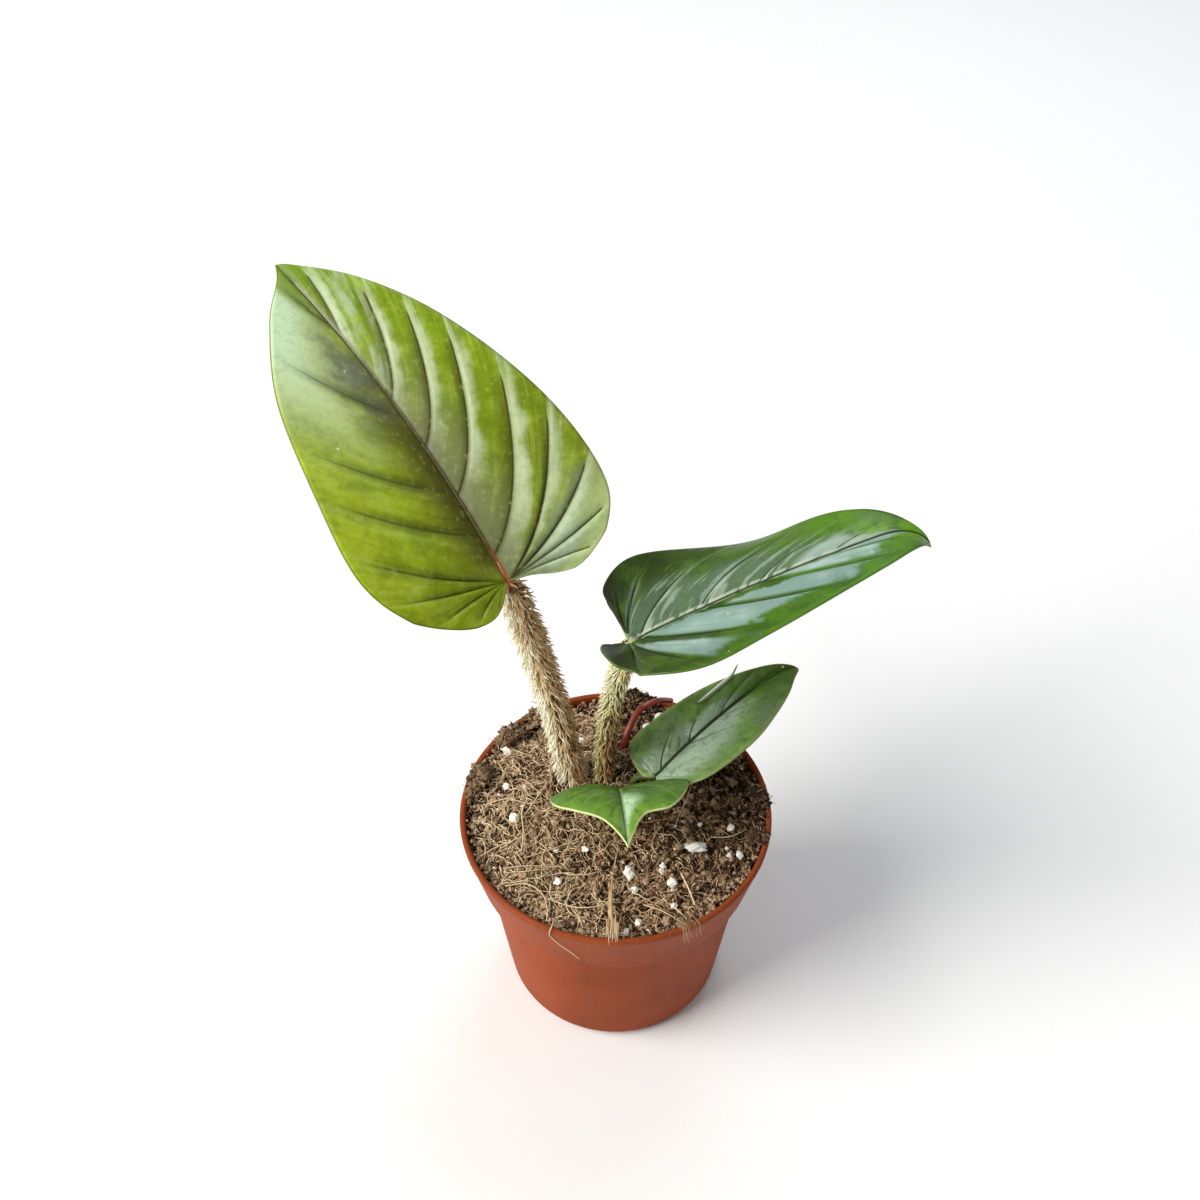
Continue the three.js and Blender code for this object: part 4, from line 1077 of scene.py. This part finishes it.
LOOKS = {
    "leaf_a": dict(
        left=[(0, "9cb000"), (0.25, "a8be0c"), (0.5, "a6ba22"), (0.75, "a6be50"), (0.92, "84a210"),
              (1, "7a9c08")],
        right=[(0, "8c9e3c"), (0.25, "829410"), (0.6, "86a00e"), (0.9, "80a010"), (1, "6c9a10")],
        coats=[
            ("5a6e00", 0.4, [("mottle", 0.56, 0.36)]),
            ("b4c83c", 0.45, [("mottle", 0.5, 0.68)]),
            ("5c7000", 0.25, [("streak", 0.5, 0.34)]),
            ("b8cc58", 0.35, [("streak", 0.52, 0.66)]),
            # Left half: mint towards the middle of the margin, a painted reflection of the bright left side,
            # and fresh green past it
            ("cadc9c", 0.75, [LEFT, ("turn", 6.9, 7.8), ("turn", 9.2, 8.8), ("ragged_out", 0.3, 0.7)]),
            ("d0f0c8", 0.65, [LEFT, ("turn", 7.4, 8.2), ("turn", 9.0, 8.7), ("ragged_out", 0.6, 0.95)]),
            ("5c6624", 0.8, [LEFT, ("turn", 7.6, 8.2), ("patch", 0.46, 0.56), ("mottle", 0.4, 0.56),
                             ("out", 0.9, 0.6)]),
            ("7c9c04", 0.95, [LEFT, ("turn", 8.75, 9.0), ("ragged_out", 0.3, 0.6)]),
            ("98a28c", 0.6, [LEFT, ("turn", 7.1, 7.9), ("out", 0.7, 0.35), ("patch", 0.45, 0.6)]),
            ("3e2e00", 0.9, [LEFT, ("rib", 26, 1), ("along", 0.95, 0.3), ("along", -0.02, 0.08)]),
            # Painted shade in the sunken veins' furrows, as soft dark bands over the veins' own darker line
            ("3a4200", 0.6, [LEFT, ("vein", 5.5, 0.2), ("turn", 3.5, 5.5), ("out", 1, 0.5),
                             ("out", 0.05, 0.3)]),
            ("3a4200", 0.4, [LEFT, ("vein", 2.2, 0.2), ("turn", 5.5, 3.5), ("out", 0.95, 0.5)]),
            ("2f3600", 0.5, [LEFT, ("vein", 1.0, 0.2), ("out", 1, 0.7)]),
            # Right half: a silver strip along each vein, a painted reflection on the flank that faces the
            # window and partly the leaf's own silvery tone; olive on the vein's other side
            ("b9c79a", 0.8, [RIGHT, ("ragged", 0.56, 0.84), ("turn", 11.3, 10.8), ("out", 1.02, 0.8)]),
            ("c6d6b4", 0.5, [RIGHT, ("ragged", 0.6, 0.95), ("streak", 0.4, 0.55), ("turn", 11.3, 10.8)]),
            ("545f00", 0.8, [RIGHT, ("panel", 0.4, 0.02), ("turn", 3.5, 4.5), ("out", 1, 0.7)]),
            ("c8dcb8", 0.85, [RIGHT, ("turn", 6.0, 4.6), ("ragged_out", 0.95, 0.5)]),
            ("c6da94", 0.8, [RIGHT, ("turn", 5.2, 4.2), ("ragged_out", 0.6, 0.9)]),
            ("7c8258", 0.9, [RIGHT, ("rib", 24, 2), ("along", 0.8, 0.35)]),
            ("b4c4a4", 0.6, [RIGHT, ("turn", 9.9, 10.2), ("turn", 11.3, 10.9), ("streak", 0.38, 0.6),
                             ("mottle", 0.62, 0.4)]),
            ("688a08", 0.9, [RIGHT, ("turn", 10.8, 11.2), ("ragged_out", 0.55, 0.7)]),
            ("40300a", 0.95, [RIGHT, ("vein", 0.85, 0.2), ("out", 1.0, 0.85), ("turn", 1.5, 2.5)]),
            ("3c4400", 0.5, [RIGHT, ("vein", 2.4, 0.3), ("out", 1.0, 0.6)]),
            # Midrib, the rosy foot and the margin
            ("33280a", 0.9, [("rib", 1.6, 0.5), ("along", 0.98, 0.93)]),
            ("94865a", 0.75, [("rib", 0.6, 0.2), ("along", 0.98, 0.93)]),
            ("b9c29c", 0.6, [RIGHT, ("rib", 1.4, 0.6), ("along", 0.55, 0.75), ("along", 0.96, 0.9)]),
            ("b5703c", 0.9, [("rib", 2.4, 0.5), ("along", 0.13, 0.02)]),
            ("4c5a10", 0.16, [("grain", 0.5, 0.36)]),
            ("d0dc7c", 0.2, [("grain", 0.54, 0.68)]),
            ("b9c96a", 0.3, [RIGHT, ("edge", 0.7, 0.3), ("along", 1, 0.92)]),
            ("5a6a08", 0.85, [LEFT, ("edge", 0.6, 0.2)])],
        fine_veins=7, ripple=0.2, roughness=0.42, coat=0.06, coat_roughness=0.25, shine=0.22),
    "leaf_b": dict(
        left=[(0, "2c3c04"), (0.3, "3a560c"), (0.7, "4a7410"), (1, "5a8810")],
        right=[(0, "2c3e02"), (0.3, "36560a"), (0.7, "42700e"), (1, "548410")],
        coats=[
            ("1e2e00", 0.3, [("mottle", 0.54, 0.38)]),
            ("5a8812", 0.3, [("mottle", 0.5, 0.66)]),
            ("588514", 0.35, [("streak", 0.52, 0.66)]),
            ("4e7c0c", 0.6, [RIGHT, ("edge", 6, 1), ("turn", 1, 3)]),
            ("7ab020", 0.5, [LEFT, ("turn", 7.4, 8.6), ("mottle", 0.4, 0.56)]),
            ("7ab020", 0.5, [RIGHT, ("turn", 5.4, 6.6), ("mottle", 0.4, 0.56)]),
            # Left half: grey-green beside the midrib; pale streaks along the veins and a light patch at the
            # tip, both painted reflections of the sky
            ("5a7058", 0.75, [LEFT, ("turn", 3.4, 4.2), ("turn", 8.2, 7.4), ("ragged_out", 0.7, 0.35)]),
            ("a9baa4", 0.75, [LEFT, ("turn", 4.0, 4.3), ("turn", 8.4, 7.8), ("panel", 0.3, 0.06),
                              ("streak", 0.42, 0.56), ("out", 0.7, 0.3)]),
            ("93a692", 0.65, [LEFT, ("turn", 3.6, 4.3), ("turn", 8.4, 7.8), ("streak", 0.53, 0.6),
                              ("out", 0.85, 0.4)]),
            ("1e3008", 0.2, [("grain", 0.5, 0.36)]),
            # Painted reflection: a light patch near the tip, beside the midrib
            ("9cb0a4", 0.8, [LEFT, ("turn", 7.3, 7.6), ("turn", 8.7, 8.3), ("ragged_out", 0.6, 0.4)]),
            # Right half: painted reflections of the sky on the raised panels, in sharp-edged patches
            ("7a958a", 0.85, [RIGHT, ("turn", 2.08, 2.2), ("turn", 2.8, 2.6), ("slant", 0.05, 0.2),
                             ("ragged_out", 0.95, 0.8)]),
            ("7f9a90", 0.9, [RIGHT, ("turn", 3.03, 3.12), ("turn", 3.97, 3.9), ("slant", -0.1, 0.0),
                              ("ragged_out", 0.86, 0.76)]),
            ("7d988e", 0.9, [RIGHT, ("turn", 4.05, 4.2), ("turn", 4.9, 4.8), ("slant", 0.1, 0.2),
                             ("ragged_out", 0.9, 0.75)]),
            ("839e92", 0.85, [RIGHT, ("turn", 5.1, 5.25), ("turn", 6.7, 6.5), ("panel", 0.9, 0.75),
                             ("slant", 0.0, 0.1), ("ragged_out", 0.75, 0.6)]),
            ("b6cbc4", 0.6, [RIGHT, ("turn", 2.1, 2.4), ("turn", 6.4, 6), ("panel", 0.1, 0.25),
                             ("ragged", 0.85, 0.6), ("slant", 0.05, 0.2), ("ragged_out", 0.8, 0.5),
                             ("patch", 0.36, 0.55), ("streak", 0.34, 0.56)]),
            ("1a300c", 0.95, [RIGHT, ("vein", 1.1, 0.3), ("out", 0.9, 0.6), ("turn", 1.5, 2)]),
            ("18260c", 0.9, [LEFT, ("vein", 0.8, 0.2), ("out", 0.8, 0.5), ("turn", 3.3, 3.8)]),
            ("222a00", 0.85, [LEFT, ("turn", 3.9, 2.5)]),
            ("1c2600", 0.9, [RIGHT, ("turn", 1.6, 0.3)]),
            # Midrib: a dark furrow with a pale streaky edge on each side, a painted highlight
            ("c4d0b4", 0.7, [("rib", 1.9, 1.2), ("along", 0.9, 0.6), ("streak", 0.4, 0.52)]),
            ("12200a", 0.9, [("rib", 1.0, 0.5)]),
            ("c9b98c", 0.9, [("rib", 1.2, 0.4), ("along", 0.035, 0.0)]),
            ("6c8c34", 0.4, [("edge", 0.6, 0.3)])],
        fine_veins=6, ripple=0.2, roughness=0.4, coat=0.1, coat_roughness=0.2, shine=0.2),
    "leaf_c": dict(
        left=[(0, "5f7c40"), (0.35, "5c7a34"), (0.7, "4c6e14"), (1, "386200")],
        right=[(0, "6c8854"), (0.4, "66863e"), (0.7, "4c6e14"), (1, "3c6200")],
        coats=[
            ("3a5014", 0.4, [("mottle", 0.54, 0.38)]),
            ("8aa654", 0.4, [("mottle", 0.5, 0.66)]),
            ("94a790", 0.9, [RIGHT, ("ragged_out", 0.85, 0.5), ("turn", 6.4, 5.6), ("along", 0.7, 0.45)]),
            ("8fa28c", 0.9, [LEFT, ("ragged_out", 0.6, 0.3), ("turn", 6.4, 5.6), ("along", 0.7, 0.45)]),
            ("6c7c5c", 0.6, [("patch", 0.5, 0.62), ("turn", 6, 5)]),
            ("3f5e00", 1.0, [("turn", 5.4, 6.1), ("ragged_out", 0.0, 0.25)]),
            ("3f5e00", 0.9, [("turn", 6.0, 6.4)]),
            ("4c6414", 0.7, [("edge", 5, 1), ("turn", 4.2, 5.2)]),
            ("84984c", 0.55, [("edge", 4, 0.6), ("turn", 5, 4)]),
            # Painted sheen: pale grey patches on the centre of the blade
            ("c0d0c0", 0.5, [("mottle", 0.52, 0.66), ("ragged_out", 0.7, 0.4), ("along", 0.6, 0.4)]),
            ("32441c", 0.4, [("grain", 0.5, 0.36)]),
            # Dark broken veins
            ("202c14", 0.9, [LEFT, ("vein", 0.9, 0.3), ("ragged_out", 0.55, 0.4), ("turn", 2.5, 2.7)]),
            ("2a3a18", 0.6, [LEFT, ("streak", 0.42, 0.34), ("ragged_out", 0.6, 0.4), ("turn", 2.0, 2.5)]),
            ("3c4c28", 0.7, [RIGHT, ("vein", 1.0, 0.2), ("ragged_out", 0.6, 0.4), ("turn", 3.5, 3.6)]),
            ("18200c", 1.0, [("rib", 1.3, 0.7), ("along", 0.75, 0.6)]),
            ("3c4c28", 0.6, [("rib", 1.0, 0.4)]),
            ("22280f", 0.9, [RIGHT, ("patch", 0.62, 0.66), ("mottle", 0.58, 0.62), ("out", 0.3, 0.5)]),
            ("a4ac78", 0.5, [("edge", 0.6, 0.25)])],
        fine_veins=6, ripple=0.25, roughness=0.42, coat=0.06, coat_roughness=0.2, shine=0.2),
    "leaf_d": dict(
        left=[(0, "3e6216"), (0.5, "5a862e"), (1, "90b650")],
        right=[(0, "4c7418"), (0.4, "628c32"), (1, "8cb44c")],
        coats=[
            ("3a640c", 0.4, [("mottle", 0.54, 0.38)]),
            ("90b848", 0.4, [("mottle", 0.5, 0.66)]),
            ("90b848", 0.4, [("streak", 0.5, 0.64)]),
            ("466c18", 0.5, [("vein", 1.2, 0.2), ("out", 1, 0.7)]),
            ("c4e6bc", 0.9, [LEFT, ("turn", 3.4, 3.9), ("out", 0.75, 0.45)]),
            ("c4e6bc", 0.8, [RIGHT, ("turn", 4.2, 4.5), ("out", 0.9, 0.6)]),
            ("44701c", 0.7, [("rib", 1.2, 0.5)]),
            ("c8d8a4", 0.45, [LEFT, ("rib", 1.2, 0.7)]),
            ("2c4a10", 0.35, [("grain", 0.5, 0.36)]),
            ("e0e6a8", 0.75, [("edge", 0.55, 0.3), ("turn", 2.0, 3.0)])],
        fine_veins=8, ripple=0.2, roughness=0.42, coat=0.06, coat_roughness=0.2, shine=0.2),
}
BACKS = {"leaf_a": ("7f9850", "9fb36c"), "leaf_b": ("5f7f4a", "86a066"),
         "leaf_c": ("7d9465", "9eb07e"), "leaf_d": ("7b9f55", "a3c07a")}
SLOTS = {"leaf_a": "leaf_olive_green", "leaf_b": "leaf_dark_green",
         "leaf_c": "leaf_grey_green", "leaf_d": "leaf_mid_green"}

make_pot(plastic)
make_soil(peat)
make_crumbs(crumb_peat)
make_perlite(chalk)
make_coir("short_coir", coir, 4800, 22, 1.6, 6.5, 1.6)
make_coir("long_coir", coir, 900, 21, 7, 24, 2.6)
make_clump_fibres(coir)
make_root_ends(root_fibre)
make_straw(straw)
for leaf_name, look in LOOKS.items():
    make_blade(leaf_name, leaf_skin(leaf_name + "_cuticle", look),
               leaf_back(leaf_name + "_underside", *BACKS[leaf_name]), SLOTS[leaf_name])
stalk_core("stalk_a_core", STEM_A, stalk_skin, "bristle_straw")
stalk_core("stalk_b_core", STEM_B, stalk_skin, "bristle_straw")
bristle_coat("petiole_a", STEM_A, 2000, 41, BLADES["leaf_a"], (5.2, 8), long_coat_tone, long_bristle)
bristle_coat("petiole_b", STEM_B, 1300, 42, BLADES["leaf_b"], (2.8, 4.8), short_coat_tone, short_bristle)
dry_flap(toned_fibre("dry_leaf_flap", [(0.3, "7f8d6a"), (0.7, "b9c3a4"), (1.1, "e2e6d6")]))
vein_star("leaf_a_vein_bases", BLADES["leaf_a"], vein_foot, "bristle_straw")
plain_stalk("stalk_c", STEM_C, 1.5, 1.2, green_stalk, "young_petiole", ["petiole_c"])
plain_stalk("stalk_d", STEM_D, 1.5, 1.2, green_stalk, "young_petiole", ["petiole_d"])
plain_stalk("red_new_leaf_sheath", SHEATH, 1.6, 1.1, red_skin, "red_sheath", ["new_leaf_sheath"])
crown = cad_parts["creeping_stem"]
crown.data.materials.clear()
crown.data.materials.append(young_stalk("creeping_stem_bark", "4a3d22", "7d7a45", 0.7))


# Floor, light and camera

def make_floor():
    bm = bmesh.new()
    bmesh.ops.create_grid(bm, x_segments=2, y_segments=2, size=4)
    floor = add_object("floor", mesh_of(bm, "floor"))
    material, tree, shader, _ = start_material("matte_white_sweep")
    fill(tree, shader, {"Base Color": "f4f4f4", "Roughness": 0.9})
    floor.data.materials.append(material)


def make_light(name, place, target, size, power, colour):
    light = bpy.data.lights.new(name, "AREA")
    light.shape = "RECTANGLE"
    light.size, light.size_y = size
    light.energy = power
    light.color = linear(colour)[:3]
    lamp = add_object(name, light)
    lamp.location = place
    lamp.rotation_euler = (Vector(target) - Vector(place)).to_track_quat("-Z", "Y").to_euler()


def make_camera():
    data = bpy.data.cameras.new("camera")
    data.lens = CAMERA_LENS
    data.sensor_width = 36
    camera = add_object("camera", data)
    e = math.radians(CAMERA_ELEVATION)
    back = Vector((0, -math.cos(e), math.sin(e)))
    camera.location = (Vector(CAMERA_TARGET) + back * CAMERA_DISTANCE) * MM
    camera.rotation_euler = (-back).to_track_quat("-Z", "Y").to_euler()
    bpy.context.scene.camera = camera


make_floor()
make_light("window", (-2.5, -0.8, 2.1), (0, 0, 0.12), (2.2, 2.2), 150, "fffdf8")
make_light("roof_light", (0.35, 1.0, 1.5), (0, 0, 0.15), (0.8, 0.6), 9, "eef5ff")
world = bpy.data.worlds.new("studio")
world.use_nodes = True
fill(world.node_tree, world.node_tree.nodes["Background"], {"Color": "ffffff", "Strength": 0.32})
bpy.context.scene.world = world
make_camera()

bpy.context.scene.view_settings.view_transform = "Standard"
